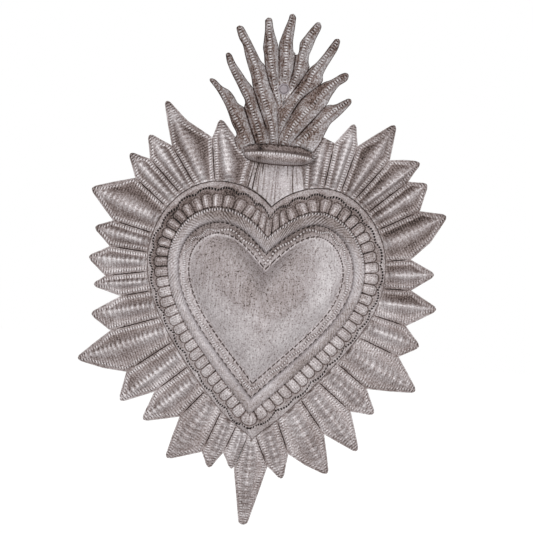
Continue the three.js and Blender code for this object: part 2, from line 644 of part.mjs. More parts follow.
function addPiece(parent, name, geometry, color, roughness) {
  const mesh = new THREE.Mesh(geometry, new THREE.MeshStandardMaterial({ color, roughness, metalness: 1 }));
  mesh.name = name;
  parent.add(mesh);
}

addPiece(hanging, 'ray_plate', rayPlate(), '#8f8482', 0.45);
addPiece(hanging, 'heart_frame', heartFrame(), '#94898a', 0.45);
addPiece(hanging, 'rope_moulding', ropeMoulding(), '#aba3a2', 0.4);
addPiece(hanging, 'heart_dome', heartDome(), '#9c9291', 0.35);
addPiece(hanging, 'neck_plate', neckPlate(), '#b0a8a6', 0.4);
addPiece(hanging, 'collar_band', collarBand(), '#8f8482', 0.42);
addPiece(flames, 'flame_spray', flameSpray(), '#887c78', 0.45);
addPiece(flames, 'rivet_washer', rivetWasher(), '#a39b9c', 0.4);
addPiece(flames, 'hanger_rivet', hangerRivet(), '#9e969b', 0.38);
addPiece(flames, 'hanger_strap', hangerStrap(), '#8a807e', 0.45);
addPiece(flames, 'hanging_ring', hangingRing(), '#9a9190', 0.35);

export default hanging;
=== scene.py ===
from math import cos, pi, radians, sin

import bmesh
import bpy
import numpy as np
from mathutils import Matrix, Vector


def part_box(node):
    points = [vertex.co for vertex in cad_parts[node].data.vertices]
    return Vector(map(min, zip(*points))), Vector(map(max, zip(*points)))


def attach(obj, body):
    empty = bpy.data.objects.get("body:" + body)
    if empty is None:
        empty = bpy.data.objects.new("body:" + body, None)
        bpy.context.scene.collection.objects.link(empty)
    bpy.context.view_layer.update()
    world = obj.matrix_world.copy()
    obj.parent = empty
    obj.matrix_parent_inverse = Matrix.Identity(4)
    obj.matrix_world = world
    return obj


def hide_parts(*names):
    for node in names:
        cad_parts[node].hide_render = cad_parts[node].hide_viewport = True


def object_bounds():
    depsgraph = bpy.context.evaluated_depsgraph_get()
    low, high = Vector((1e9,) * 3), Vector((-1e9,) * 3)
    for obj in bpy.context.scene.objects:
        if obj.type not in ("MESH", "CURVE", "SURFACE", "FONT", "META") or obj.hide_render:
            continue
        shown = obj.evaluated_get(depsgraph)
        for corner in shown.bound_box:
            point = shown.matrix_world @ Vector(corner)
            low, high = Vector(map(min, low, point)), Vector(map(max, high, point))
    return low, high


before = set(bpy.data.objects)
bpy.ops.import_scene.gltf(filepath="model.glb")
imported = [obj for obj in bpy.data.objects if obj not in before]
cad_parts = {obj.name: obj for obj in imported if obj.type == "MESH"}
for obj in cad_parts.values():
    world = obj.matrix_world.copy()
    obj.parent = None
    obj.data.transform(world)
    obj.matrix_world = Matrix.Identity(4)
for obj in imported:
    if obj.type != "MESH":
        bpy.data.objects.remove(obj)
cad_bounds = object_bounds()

# Viewpoint. The hanging was photographed square on and from some way off, turned a little clockwise.
# The model hangs upright, so the camera is rolled by the same angle instead.
PHOTO_PIXELS = 533
ORIGIN_PIXEL = (281.9, 89.3)  # the frame's origin in the photograph, where a pixel is a millimetre
TURNED = radians(5)
CAMERA_DISTANCE = 2600  # mm, like all the sizes below
SENSOR = 36
METRE = 1000


def from_photo(pixels, level=0):
    """Points of the photograph, read in pixels, as x and z on the upright hanging, at a level above
    the wall."""
    middle = PHOTO_PIXELS / 2
    nearer = 1 - level / CAMERA_DISTANCE
    across, down = (middle + (np.array(pixels, float) - middle) * nearer - ORIGIN_PIXEL).T
    return np.column_stack([
        across * cos(TURNED) + down * sin(TURNED), across * sin(TURNED) - down * cos(TURNED),
    ])


def place_object(name, data):
    """A new object of that data in the scene."""
    thing = bpy.data.objects.new(name, data)
    bpy.context.collection.objects.link(thing)
    return thing


aim_x, aim_z = from_photo([(PHOTO_PIXELS / 2, PHOTO_PIXELS / 2)])[0]
camera = place_object("camera", bpy.data.cameras.new("camera"))
camera.location = (aim_x / METRE, -CAMERA_DISTANCE / METRE, aim_z / METRE)
camera.rotation_euler = (pi / 2, -TURNED, 0)
camera.data.sensor_width = SENSOR
camera.data.lens = SENSOR * CAMERA_DISTANCE / PHOTO_PIXELS
bpy.context.scene.camera = camera

# Ray plate. A sunburst of pointed leaves cut from one sheet of steel and raised from behind: each has a
# broad rib, hollowed flanks and a stitched row along both edges, and its root lies flat behind the heart.
SHEET = 0.8
LAP_GAP = 0.3
RAY_FLAT = 1.9  # levels are heights above the wall, towards the front
heart_low, heart_high = (np.array(corner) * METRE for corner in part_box("heart_frame"))
LOBE_TOP, HALF_WIDTH, TIP_Z = heart_high[2], heart_high[0], heart_low[2]
LOBE_X, WIDEST_Z, NOTCH_Z = 52, LOBE_TOP - 80.5, LOBE_TOP - 22.5
BORDER_SIDE = 42.5  # from the heart's outline in to the dome, at the widest place
DOME_LOBE, DOME_WIDEST_Z = (50, LOBE_TOP - 49), LOBE_TOP - 85.5
DOME_NOTCH_Z, DOME_TIP_Z = NOTCH_Z - 63, TIP_Z + 57.5
CURVE_SHARES = np.array([0, 5, 12, 22]) / 22  # notch, lobe top, widest place and tip, on the way round
NOTCH_PULL, LOBE_PULL = 22, 18  # how far the curve heads on from the notch, and towards the lobe's top
NOTCH_LEAVE, TIP_ARRIVE = radians(47), radians(44)  # from level at the notch, and from upright at the tip
SIDE_PULL, TIP_PULL = 0.35, 0.41  # the same at the widest place and the tip, as shares of the way between
QUARTER_ROUND = 0.5523  # the share that makes a curve a quarter of a circle


def half_heart(lobe, wide, notch_z, tip_z):
    """Three curves from the notch over the lobe and the side down to the tip."""
    leaving = (NOTCH_PULL * cos(NOTCH_LEAVE), notch_z + NOTCH_PULL * sin(NOTCH_LEAVE))
    last_pull = TIP_PULL * np.hypot(wide[0], wide[1] - tip_z)
    arriving = (last_pull * sin(TIP_ARRIVE), tip_z + last_pull * cos(TIP_ARRIVE))
    return [
        [(0, notch_z), leaving, (lobe[0] - LOBE_PULL, lobe[1]), lobe],
        [lobe, (lobe[0] + QUARTER_ROUND * (wide[0] - lobe[0]), lobe[1]),
         (wide[0], wide[1] + QUARTER_ROUND * (lobe[1] - wide[1])), wide],
        [wide, (wide[0], wide[1] - SIDE_PULL * (wide[1] - tip_z)), arriving, (0, tip_z)],
    ]


outline = half_heart((LOBE_X, LOBE_TOP), (HALF_WIDTH, WIDEST_Z), NOTCH_Z, TIP_Z)
dome_edge = half_heart(DOME_LOBE, (HALF_WIDTH - BORDER_SIDE, DOME_WIDEST_Z), DOME_NOTCH_Z, DOME_TIP_Z)


def along_heart(curves, turns):
    """Points on a heart at shares of the way round, clockwise from the notch."""
    right = turns <= 0.5
    along = 2 * np.where(right, turns, 1 - turns)
    points = np.zeros((len(turns), 2))
    for curve, start, end in zip(curves, CURVE_SHARES[:-1], CURVE_SHARES[1:]):
        within = (along >= start) & (along <= end)
        t = ((along[within] - start) / (end - start))[:, None]
        a, b, c, d = np.array(curve, float)
        points[within] = a * (1 - t) ** 3 + 3 * b * t * (1 - t) ** 2 + 3 * c * t ** 2 * (1 - t) + d * t ** 3
    points[~right, 0] *= -1
    return points


def distances(line):
    """How far along a line each of its points lies."""
    return np.concatenate([[0], np.cumsum(np.hypot(*np.diff(line, axis=0).T))])


# Stations round the heart, evenly spaced along the middle of its arches
ARCHES, ARCH_STATIONS = 66, 20
STATIONS = ARCHES * ARCH_STATIONS
ARCH_MIDDLE = 14
TRIAL_TURNS = 20  # to a station, while the spacing is worked out
many_turns = np.linspace(0, 1, TRIAL_TURNS * STATIONS + 1)
many_points = (
    along_heart(outline, many_turns) * (1 - ARCH_MIDDLE / BORDER_SIDE)
    + along_heart(dome_edge, many_turns) * ARCH_MIDDLE / BORDER_SIDE
)
travelled = distances(many_points)
turns = np.interp(np.arange(STATIONS) / STATIONS * travelled[-1], travelled, many_turns)
outline_points = along_heart(outline, turns)
dome_points = along_heart(dome_edge, turns)


def ease(low, high, value):
    """Rises smoothly from 0 at low to 1 at high."""
    share = np.clip((value - low) / (high - low), 0, 1)
    return share * share * (3 - 2 * share)


def ridge(value, width):
    """A rounded ridge across 0."""
    return np.exp(-(value / width) ** 2)


def near(places, x, z, radius):
    """A soft round spot, 1 at its middle."""
    return ridge(np.hypot(places[..., 0] - x, places[..., 1] - z), radius)


def layered(ground, *layers):
    """The ground with layers added, each given as how much and where."""
    return sum((much * where for much, where in layers), ground)


def heart_rows(insets):
    """Rows of x and z round the heart, each at its inset from the outline, and as uneven as it was cut by
    hand: its tip hangs low and to the left, the notch leans left, and the left lobe is the lower one."""
    inset = np.array(insets, float)[:, None]
    share = inset[..., None] / BORDER_SIDE
    rows = outline_points * (1 - share) + dome_points * share
    x, z = rows[..., 0], rows[..., 1]
    outer = ease(30, 8, inset)
    right_lobe = near(rows, 80, -130, 36)
    tip_edge = ease(12, 0, inset) * near(rows, 0, TIP_Z, 25)
    left = layered(
        4 * ease(-190, -310, z) * (1 - 0.8 * outer * ease(0, 30, x)),
        (-4.6, tip_edge), (1.5, near(rows, 2, -155, 35)), (2.2, right_lobe),
    )
    down = layered(
        (3.5 + 2 * outer) * ease(-240, -335, z),
        (-0.02 * x, ease(-190, -150, z)), (2.2, right_lobe),
        (4.5 * (1 - outer), near(rows, -58, -128, 36)), (-4.4, tip_edge),
    )
    return np.stack([x - left, z - down], -1)


SUN = np.array([0, LOBE_TOP - 119.5])  # the rays' bearings are taken from here


def from_sun(places):
    """Bearings of places from the sun, in degrees clockwise from straight up, and distances."""
    out = places - SUN
    return np.degrees(np.arctan2(out[..., 0], out[..., 1])) % 360, np.hypot(out[..., 0], out[..., 1])


outline_from_sun = from_sun(outline_points)
laid_from_sun = from_sun(heart_rows([0])[0])


def beyond_outline(bearing, reach):
    """The place at a bearing from the sun and a reach beyond the heart's outline."""
    radius = np.interp(bearing % 360, *outline_from_sun, period=360) + reach
    return SUN + radius * np.array([sin(radians(bearing)), cos(radians(bearing))])


def reach_of(places):
    """How far places lie beyond the edge of the heart's border, as it was laid."""
    bearings, radii = from_sun(places)
    return radii - np.interp(bearings, *laid_from_sun, period=360)


def quads(at):
    """Faces between neighbouring rows and columns of vertices, given by their numbers."""
    return np.stack([at[:-1, :-1], at[:-1, 1:], at[1:, 1:], at[1:, :-1]], -1).reshape(-1, 4).tolist()


def close_sheet(front, back, kept_rows, kept_cols, loop=False, middle=None):
    """Vertices and faces of a sheet: its fine front, a plainer back of the kept rows and columns, and the
    rim. With a middle, the last row closes on that point instead."""
    rows, cols = front.shape[:2]
    at_front = np.arange(rows * cols).reshape(rows, cols)
    at_back = rows * cols + np.arange(back.shape[0] * back.shape[1]).reshape(back.shape[:2])
    kept_cols = list(kept_cols)
    if loop:
        at_front = np.column_stack([at_front, at_front[:, 0]])
        at_back = np.column_stack([at_back, at_back[:, 0]])
        kept_cols.append(cols)
    points = np.concatenate([front.reshape(-1, 3), back.reshape(-1, 3)])
    faces = quads(at_front) + [face[::-1] for face in quads(at_back)]
    edges = [(at_front[0], at_back[0], kept_cols, 1)]
    if middle is None:
        edges.append((at_front[-1], at_back[-1], kept_cols, -1))
    else:
        top = len(points)
        points = np.vstack([points, middle, np.array(middle) - [0, 0, SHEET]])
        for j, (start, end) in enumerate(zip(kept_cols[:-1], kept_cols[1:])):
            faces.append([*at_front[-1, start:end + 1].tolist(), top])
            faces.append([*at_back[-1, j:j + 2][::-1].tolist(), top + 1])
    if not loop:
        edges.append((at_front[:, 0], at_back[:, 0], kept_rows, -1))
        edges.append((at_front[:, -1], at_back[:, -1], kept_rows, 1))
    for fine, plain, stops, turn in edges:
        for j, (start, end) in enumerate(zip(stops[:-1], stops[1:])):
            face = fine[start:end + 1][::-1].tolist() + plain[j:j + 2].tolist()
            faces.append(face[::turn])
    x, z = front[..., 0], front[..., 1]
    area = np.sum((x[1:, 1:] - x[:-1, :-1]) * (z[1:, :-1] - z[:-1, 1:])
                  - (x[1:, :-1] - x[:-1, 1:]) * (z[1:, 1:] - z[:-1, :-1]))
    return points, faces if area > 0 else [face[::-1] for face in faces]


def kept(count, step):
    """Indices a step apart, and the last."""
    return sorted({*range(0, count, step), count - 1})


BACK_TARNISH = 0.46
HOLLOW_SHADE, HOLLOW_DEPTH = 0.16, 5  # painted shade: behind what is raised, the back's hollows are coloured darker


def press(places, level, base, tarnish, kept_rows, kept_cols, loop=False, middle=None):
    """A chased sheet of places in x and z, the front's level, the level without chasing that the back
    follows, and tarnish."""
    front = np.dstack([places, level])
    picked = np.ix_(kept_rows, kept_cols)
    back = np.dstack([places[picked], base[picked] - SHEET])
    points, faces = close_sheet(front, back, kept_rows, kept_cols, loop, middle)
    # the back's own tarnish, with painted shade added in its hollows
    back_tone_and_shade = BACK_TARNISH + HOLLOW_SHADE * ease(0, HOLLOW_DEPTH, base[picked] - base.min())
    tones = np.full(len(points), BACK_TARNISH)
    tones[:tarnish.size + back_tone_and_shade.size] = np.concatenate([tarnish.ravel(), back_tone_and_shade.ravel()])
    return points, faces, tones


def press_plain(places, level, tarnish, row_step, col_step, loop=False):
    """A sheet with no chasing and one tarnish all over its front."""
    level = np.zeros(places.shape[:2]) + level
    rows, cols = level.shape
    return press(places, level, level, 0 * level + tarnish, kept(rows, row_step), kept(cols, col_step), loop)


def stand_in(name, finish, mesh, tarnish, sharp, material, body):
    """Shows a mesh in place of the solid of that name, with its own tarnish, moving with a body."""
    mesh.attributes.new("tarnish", "FLOAT", "POINT").data.foreach_set("value", tarnish)
    mesh.polygons.foreach_set("use_smooth", np.ones(len(mesh.polygons), bool))
    mesh.set_sharp_from_angle(angle=sharp)
    mesh.materials.append(material)
    piece = place_object(f"{name}_{finish}", mesh)
    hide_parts(name)
    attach(piece, body)


CHASED_SHARP = radians(65)  # an edge that turns by more than this shows as an edge


def make_piece(name, sheets, material):
    """One chased piece of all its sheets, moving with the plaque."""
    points = np.concatenate([sheet_points for sheet_points, _, _ in sheets])
    tarnish = np.concatenate([sheet_tarnish for _, _, sheet_tarnish in sheets])
    faces = []
    start = 0
    for sheet_points, sheet_faces, _ in sheets:
        faces.extend([start + corner for corner in face] for face in sheet_faces)
        start += len(sheet_points)
    mesh = bpy.data.meshes.new(name)
    mesh.from_pydata((points[:, [0, 2, 1]] * [1, -1, 1] / METRE).tolist(), [], faces)
    stand_in(name, "chased", mesh, tarnish, CHASED_SHARP, material, "plaque")


def linear(hex_colour):
    """An sRGB hex colour as linear RGBA."""
    shares = np.array([int(hex_colour[i:i + 2], 16) for i in (1, 3, 5)]) / 255
    return (*np.where(shares <= 0.04045, shares / 12.92, ((shares + 0.055) / 1.055) ** 2.4), 1)


def add_node(tree, kind, inputs, **settings):
    """Adds a node with its settings; each input is given a value or linked to an output."""
    node = tree.nodes.new(kind)
    for name, value in settings.items():
        setattr(node, name, value)
    for socket, value in inputs.items():
        if isinstance(value, bpy.types.NodeSocket):
            tree.links.new(value, node.inputs[socket])
        else:
            node.inputs[socket].default_value = value
    return node


FILMED_METAL = 0.55  # a film of tarnish hides the rest of the metal, so the eye sees a sheen and no mirror
RUBBED_ROUGH, SOOTY_ROUGH = 0.5, 0.75
PIT_SIZE = 1.5
PIT_EDGE = (0.6, 0.72)  # the heights of the noise where a pit begins, and where it is full
SCRATCH_STRENGTH, SCRATCH_DEPTH = 0.35, 0.4


def patinated_steel(name, tones, cloud, speck, stroke, grain=(1, 1, 1), pits=0.25, worn=0):
    """Sheet steel, darkened all over and rubbed back by hand. The eye sees a warm satin grey on what stands
    proud, and brown to black where the tarnish was left. Tones run from rubbed to sooty; cloud, speck and
    stroke are its mottling's sizes and strengths, grain draws the strokes out, pits is how far its rusty pits
    show, and worn is tarnish on top of a piece's own. Real specks, pits and scratches are finer than a tenth
    of a millimetre; they are drawn about ten times as coarse, so that they show."""
    material = bpy.data.materials.new(name)
    material.use_nodes = True
    tree = material.node_tree
    tree.nodes.clear()
    place = add_node(tree, "ShaderNodeTexCoord", {}).outputs["Object"]
    drawn = add_node(tree, "ShaderNodeMapping", {"Vector": place, "Scale": grain}).outputs["Vector"]
    own = add_node(tree, "ShaderNodeAttribute", {}, attribute_name="tarnish").outputs["Fac"]
    tarnish = add_node(tree, "ShaderNodeMath", {0: own, 1: worn}, operation="ADD").outputs[0]
    for (size, strength), detail, vector in ((cloud, 3, place), (speck, 2, place), (stroke, 1, drawn)):
        mottle = add_node(tree, "ShaderNodeTexNoise",
                          {"Vector": vector, "Scale": METRE / size, "Detail": detail}).outputs["Fac"]
        centred = add_node(tree, "ShaderNodeMath", {0: mottle, 1: 0.5}, operation="SUBTRACT").outputs[0]
        tarnish = add_node(tree, "ShaderNodeMath", {0: centred, 1: strength, 2: tarnish},
                           operation="MULTIPLY_ADD").outputs[0]
    rust = add_node(tree, "ShaderNodeTexNoise",
                    {"Vector": place, "Scale": METRE / PIT_SIZE, "Detail": 1.0}).outputs["Fac"]
    pitted = add_node(tree, "ShaderNodeMapRange", {
        "Value": rust, "From Min": PIT_EDGE[0], "From Max": PIT_EDGE[1], "To Max": pits,
    }).outputs["Result"]
    tarnish = add_node(tree, "ShaderNodeMath", {0: tarnish, 1: pitted}, operation="ADD").outputs[0]
    ramp = add_node(tree, "ShaderNodeValToRGB", {"Fac": tarnish})
    stops = ramp.color_ramp.elements
    while len(stops) < len(tones):
        stops.new(0.5)
    for stop, (position, colour) in zip(stops, tones):
        stop.position = position
        stop.color = linear(colour)
    dull = add_node(tree, "ShaderNodeMapRange",
                    {"Value": tarnish, "To Min": RUBBED_ROUGH, "To Max": SOOTY_ROUGH}).outputs["Result"]
    scratch = add_node(tree, "ShaderNodeTexNoise",
                       {"Vector": drawn, "Scale": METRE / stroke[0], "Detail": 2.0}).outputs["Fac"]
    relief = add_node(tree, "ShaderNodeBump", {
        "Height": scratch, "Strength": SCRATCH_STRENGTH, "Distance": SCRATCH_DEPTH / METRE,
    }).outputs["Normal"]
    steel = add_node(tree, "ShaderNodeBsdfPrincipled", {
        "Base Color": ramp.outputs["Color"], "Roughness": dull, "Normal": relief, "Metallic": FILMED_METAL,
    })
    add_node(tree, "ShaderNodeOutputMaterial", {"Surface": steel.outputs["BSDF"]})
    return material


# Chased steel: light breaks up on its many tool marks, so it looks mid grey, freckled with brown
CHASED_TONES = [(0.0, "#dfdadb"), (0.3, "#b0a7a7"), (0.55, "#8b7e7b"), (0.8, "#5b4c47"), (1.0, "#191514")]
chased_steel = patinated_steel(
    "chased_patinated_steel", CHASED_TONES, cloud=(26, 0.55), speck=(1.4, 0.72), stroke=(1.2, 0.6),
)

# Each tip's bearing and reach beyond the heart's outline, clockwise
RAY_TIPS = [
    (15, 56), (22, 72), (31.5, 85), (43, 71.5), (49, 64.5), (59.5, 69), (75.5, 50), (87, 59), (100.5, 57.5),
    (115, 78.5), (130, 62), (142.5, 79), (154.5, 80.5), (169, 60.5), (180.3, 87), (186, 45), (193.5, 60.5),
    (207, 81.5), (221, 72), (231, 78.5), (248.5, 95), (261.5, 66.5), (271.5, 57.5), (280, 60.5),
    (289.5, 57.5), (299, 73.5), (313.5, 62), (321, 64.5), (329.5, 88.5), (342, 64),
]
# Between one ray and the next: bearing and reach of the valley, and bearing of the seam's root on the outline
RAY_JOINS = [
    (19, 50, 23), (26, 51, 30), (36.5, 53, 36.5), (45, 51, 44), (54.5, 46, 52.5), (68.5, 26, 66),
    (80, 29, 78), (94, 36, 91), (106.5, 45, 104.5), (124.5, 40, 124), (136, 45, 140), (150, 46, 154),
    (165.5, 42, 168.5), (173.5, 41, 178.5), (185.1, 43, 181.5), (190, 38, 187), (197.5, 53, 196),
    (211.5, 43, 208), (226, 46, 225), (238.5, 58, 242.5), (255, 54, 257.5), (268, 33, 271.5),
    (275, 45, 280.5), (285.5, 40, 289), (294, 42, 297.5), (309.5, 42, 310), (317, 45, 318), (325, 45, 325),
    (338, 45, 333.5),
]
CROWN_X, COLLAR_Z = 2, -66  # the middle of the collar
SEAT_HALF, SEAT_COVER, SEAT_ROOTS = 27, 7, (345.5, 14.5)  # the flat seat under the neck and the collar
RAY_ROW, STITCH_ROWS = 0.85, 3  # a row's step along a ray, and the rows that a stitch takes
NEAR_TIP = [0.02, 0.1, 0.25, 0.5]  # extra rows that round the tip off
ROOT_TUCK = 5  # how far a ray runs on under the heart's border
SEAM_TUCK = 0.3  # how far its edges do, as a share of the seam's length
RIB_RISE, FLANK_RISE = 5.2, 1.2
SCALE_LENGTH, LOW_SCALE = 4.8, 1.6  # chased scales along the rib, and how much longer they are low down
SCALE_CURL = 0.05  # how far a scale curls back to its sides, per millimetre squared
FEATHER_LENGTH, FEATHER_CURL = 2.6, 0.04  # finer strokes between the scales, curled the other way
HATCH = np.array([-1.1, 0.3, 0.8])  # crosswise lines on the flanks, over three rows
EDGE_STEPS = np.array([0, 0.5, 1, 1.6, 2.3, 3, 3.7, 4.5, 5.3, 6.2])  # fine columns along the stitched edges
INNER_STEPS = np.linspace(0, 1, 6)[1:]
FULL_STEPS_WIDTH = 10  # where a ray's half is narrower, its fine columns are drawn together
ROW_INSET, FREE_INSET = 3, 1.6  # of the stitched row from a seam, and how much more from an edge cut free
EDGE_BULGE = 0.035  # how far an edge swells out between valley and tip, as a share of its length
OWN_BULGE = {(3, -1): 0.07, (5, 1): 0.09, (12, 1): 0.065, (20, -1): 0.06, (28, 1): -0.045}  # of ray and side
TIP_HALF, TIP_ROUND = 2.2, 3
BLUNT = {14: 4.2}  # the ray under the heart's tip ends wider than the rest
LAST_STOPS = np.array([3, 2.5, 2, 1, 0])  # an edge's five points lie at least this far short of the tip
HAIR = 1e-6  # keeps points that fall together in order
RAY_SPOTS = [  # spots coloured darker or lighter: x, z, radius, and how much more tarnish
    (2, -347, 27, -0.18), (114, -238, 34, -0.12), (86, -74, 25, -0.07), (-136, -154, 16, -0.1),
    (-84, -48, 20, 0.16), (-130, -304, 42, 0.1), (144, -123, 18, 0.15),
    (-70, -360, 30, 0.07), (60, -365, 26, 0.06), (CROWN_X, COLLAR_Z, 75, -0.14),
]
seeded = np.random.default_rng(7)
strikes = np.random.default_rng(11)  # how hard each stitch and bead was struck


def ray_half(number, side, join, tip, root, from_tip):
    """Half a ray, in rows from the tip and columns from its edge in: offsets from the rib, ways in from the
    edge, half widths, where a neighbour shares the edge, shares of the way up that seam, and how far the edge
    is cut free."""
    length = np.hypot(*(tip - root))
    ahead = (tip - root) / length
    aside = np.array([ahead[1], -ahead[0]])
    along = length - from_tip
    seam_root, valley = beyond_outline(join["seam"], 0), join["valley"]
    tuck = seam_root + (seam_root - valley) * SEAM_TUCK
    bulge = OWN_BULGE.get((number, side), EDGE_BULGE)
    swell = (valley + tip) / 2 + side * aside * bulge * np.hypot(*(tip - valley))
    end = tip + side * aside * BLUNT.get(number, TIP_HALF)
    spots = np.array([tuck, seam_root, valley, swell, end]) - root
    stops = np.maximum.accumulate(np.minimum(spots @ ahead, length - LAST_STOPS))
    width = np.interp(along, stops + np.arange(len(stops)) * HAIR, np.maximum(0, side * (spots @ aside)))
    width = (width * np.sqrt(1 - (1 - np.minimum(1, from_tip / TIP_ROUND)) ** 2))[:, None]
    fine = np.minimum(1, width / FULL_STEPS_WIDTH) * EDGE_STEPS
    inner = fine[:, -1:] + (width - fine[:, -1:]) * INNER_STEPS
    from_edge = np.hstack([fine, inner])
    up = along[:, None] + 0 * from_edge
    at_valley = stops[2]
    return (side * (width - from_edge), from_edge, width + 0 * from_edge, up < at_valley - 1, up / at_valley,
            ease(0, 14, up - at_valley))


def press_ray(number, tip_at, left, right):
    """A ray with its rib, hollows, stitched rows, scales and hatching. The chasing differs round the plate:
    high up it is plainer and darker, low down flatter and paler, and on the right it is finer."""
    tip = beyond_outline(*tip_at)
    root = beyond_outline((left["seam"] + right["seam"]) / 2, 0)
    length = np.hypot(*(tip - root))
    ahead = (tip - root) / length
    aside = np.array([ahead[1], -ahead[0]])
    from_tip = np.concatenate([NEAR_TIP, np.arange(RAY_ROW, length + ROOT_TUCK, RAY_ROW)])
    halves = [ray_half(number, side, join, tip, root, from_tip) for side, join in ((-1, left), (1, right))]
    offset, from_edge, width, shared, seam_share, free = (
        np.hstack([a, b[:, -2::-1]]) for a, b in zip(*halves)
    )
    places = root + (length - from_tip)[:, None, None] * ahead + offset[..., None] * aside
    across = np.abs(offset) / np.maximum(width, 0.05)
    reach = reach_of(places)
    tips = from_tip[:, None]
    high, low = ease(-200, -140, tip[1]), ease(-280, -350, tip[1] - 0.45 * tip[0])
    right_side = ease(60, 130, tip[0]) * (1 - low)
    rightward = right_side * (1 - high)
    full = ease(0, 10, reach) * ease(-4, 30, tips)
    base = RAY_FLAT + full * (RIB_RISE * ridge(across, 0.3 + 0.1 * high) + FLANK_RISE * (1 - across ** 2))

    # Stitched rows, their groove, the seam to the next ray, and the rim where the edge is free
    row = np.arange(len(from_tip))[:, None]
    stitch = row % STITCH_ROWS != 0
    struck = strikes.uniform(0.65, 1.15, (len(from_tip) // STITCH_ROWS + 1, 2))[row[:, 0] // STITCH_ROWS]
    struck = np.where(offset < 0, struck[:, :1], struck[:, 1:])
    above = offset * np.sign(aside[1])
    upper = np.tanh(above / 2)
    row_inset = ROW_INSET + 0.4 * (1 - high) + FREE_INSET * (1 - 0.7 * low) * free * (1 + 0.6 * high * upper)
    off_row = from_edge - np.minimum(row_inset, 0.55 * width)
    row_band = struck * ridge(off_row, 1 + 0.3 * (1 - rightward)) * ease(1.5, 4, width)
    groove = ridge(from_edge - 1.4, 0.45)
    seam_depth = 0.25 + 0.75 * ease(0.86, 0.7, seam_share) * ease(0, 0.12, seam_share)
    seam = shared * ridge(from_edge, 0.4) * seam_depth
    rim = ridge(from_edge - 0.6, 0.5) * ~shared

    # Scales along the rib, notches above it, and hatched flanks with a hollow
    rib = ridge(across, 0.25 + 0.2 * high + 0.3 * low) * ease(3, 8, width)
    wander = seeded.uniform(0, 6) + np.sin(tips / 5)
    scale = np.sin(2 * pi * (tips - SCALE_CURL * offset ** 2) / (SCALE_LENGTH + LOW_SCALE * low) + wander)
    crest = np.maximum(0, scale) ** 2
    notch = ridge(above - 2.4, 1.4) * ease(4, 9, width) * np.maximum(0, -scale)
    notch = notch * (1 - 0.5 * high) * (1 - 0.85 * low) * (1 - 0.7 * rightward)
    feather = np.sin(2 * pi * (tips + FEATHER_CURL * offset ** 2) / FEATHER_LENGTH + wander) * (1 - row_band)
    inside_row = ease(4.2, 5.5, from_edge - row_inset + ROW_INSET)
    flank = (1 - rib) * inside_row
    hollow = ridge(across - 0.48, 0.2) * inside_row
    hatched = flank * HATCH[row % STITCH_ROWS]
    level = layered(
        base, (np.where(stitch, 0.7, -0.4), row_band), (-0.25, groove), (-0.7, seam), (0.25, rim),
        (0.35 - 0.12 * high - 0.17 * low, rib * scale), (-0.25, notch), (0.08, hatched),
        (-0.3 * (1 - low), hollow),
    )

    # the rays are coloured lighter towards the left
    lighter_left = (1 - high) * (1 - 0.7 * low) * ease(0, -120, places[..., 0])
    pale = low + right_side
    bright_crest = 0.36 - 0.12 * high - 0.25 * low - 0.22 * right_side * (1 - 0.4 * high)
    tarnish = layered(
        0.44 + seeded.uniform(-0.05, 0.05) - 0.04 * low,
        *((more, near(places, x, z, radius)) for x, z, radius, more in RAY_SPOTS),
        (-0.12, lighter_left),
        (0.05 + 0.1 * high - 0.03 * low, flank),
        (0.07 + 0.1 * high - 0.06 * low, hollow),
        (np.where(stitch, -0.38 + 0.12 * pale, 0.46 - 0.16 * pale), row_band),
        (0.14, groove),
        (1, seam),
        (-0.1, rim),
        (0.4 * low, ridge(reach - 1, 1.6) * ridge(across, 0.3)),
        (-0.1 - 0.06 * high * (1 - right_side) + 0.04 * low, rib),
        (-bright_crest, rib * crest),
        (-0.07 * low, rib * scale),
        (0.42, notch),
        (-0.14 + 0.04 * low, hatched),
        # painted shade and light: the flank on each ray's upper side is darker and the lower one lighter, as
        # if lit from below
        (0.08 * (1 - low) + 0.05 * right_side, flank * upper),
        (-0.12 * (low + 0.6 * rightward), feather),
        (-(0.17 - 0.07 * high) * right_side, ridge(across, 0.1)),
        (0.06 + 0.1 * high, ease(14, 2, tips)),
    )
    count, edge = places.shape[1], len(EDGE_STEPS)
    middle = count // 2
    kept_cols = [0, edge - 1, middle - 3, middle, middle + 3, count - edge, count - 1]
    return press(places, level, base, tarnish, kept(len(from_tip), 5), kept_cols)


def seat_corner(side):
    """Where the seat under the neck meets the first ray on that side."""
    return np.array([CROWN_X + side * SEAT_HALF, COLLAR_Z - SEAT_COVER])


joins = [
    {"seam": SEAT_ROOTS[1], "valley": seat_corner(1)},
    *({"seam": seam, "valley": beyond_outline(bearing, reach)} for bearing, reach, seam in RAY_JOINS),
    {"seam": SEAT_ROOTS[0], "valley": seat_corner(-1)},
]
rays = [press_ray(number, *ray) for number, ray in enumerate(zip(RAY_TIPS, joins[:-1], joins[1:]))]

# The flat root band round the open window, and the seat that carries neck, collar and flames
ROOT_STEP = 0.1  # the band lies this much behind the rays' roots
BAND_COVER, WINDOW_MARGIN = 1.5, 12.5  # how far it reaches out beyond the heart's outline, and in
SEAT_SPREAD, SEAT_BEHIND = 1.3, 3  # the seat runs on behind the first rays and the flames' roots
SEAT_TUCK = 4  # and under the heart's border
SHADED = 0.6  # painted shade: what lies in the shade of another piece is coloured this dark
band_places = heart_rows(np.linspace(-BAND_COVER, WINDOW_MARGIN, 4))
root_band = press_plain(band_places, RAY_FLAT - ROOT_STEP, BACK_TARNISH, 1, 6, True)
seat_across = np.linspace(-SEAT_SPREAD, SEAT_SPREAD, 9)
seat_foot = np.array([beyond_outline(share * SEAT_ROOTS[1], -SEAT_TUCK) for share in seat_across])
seat_top = np.column_stack([
    CROWN_X + seat_across * SEAT_HALF, np.full(len(seat_across), COLLAR_Z + SEAT_COVER + SEAT_BEHIND),
])
seat_places = seat_foot + np.linspace(0, 1, 12)[:, None, None] * (seat_top - seat_foot)
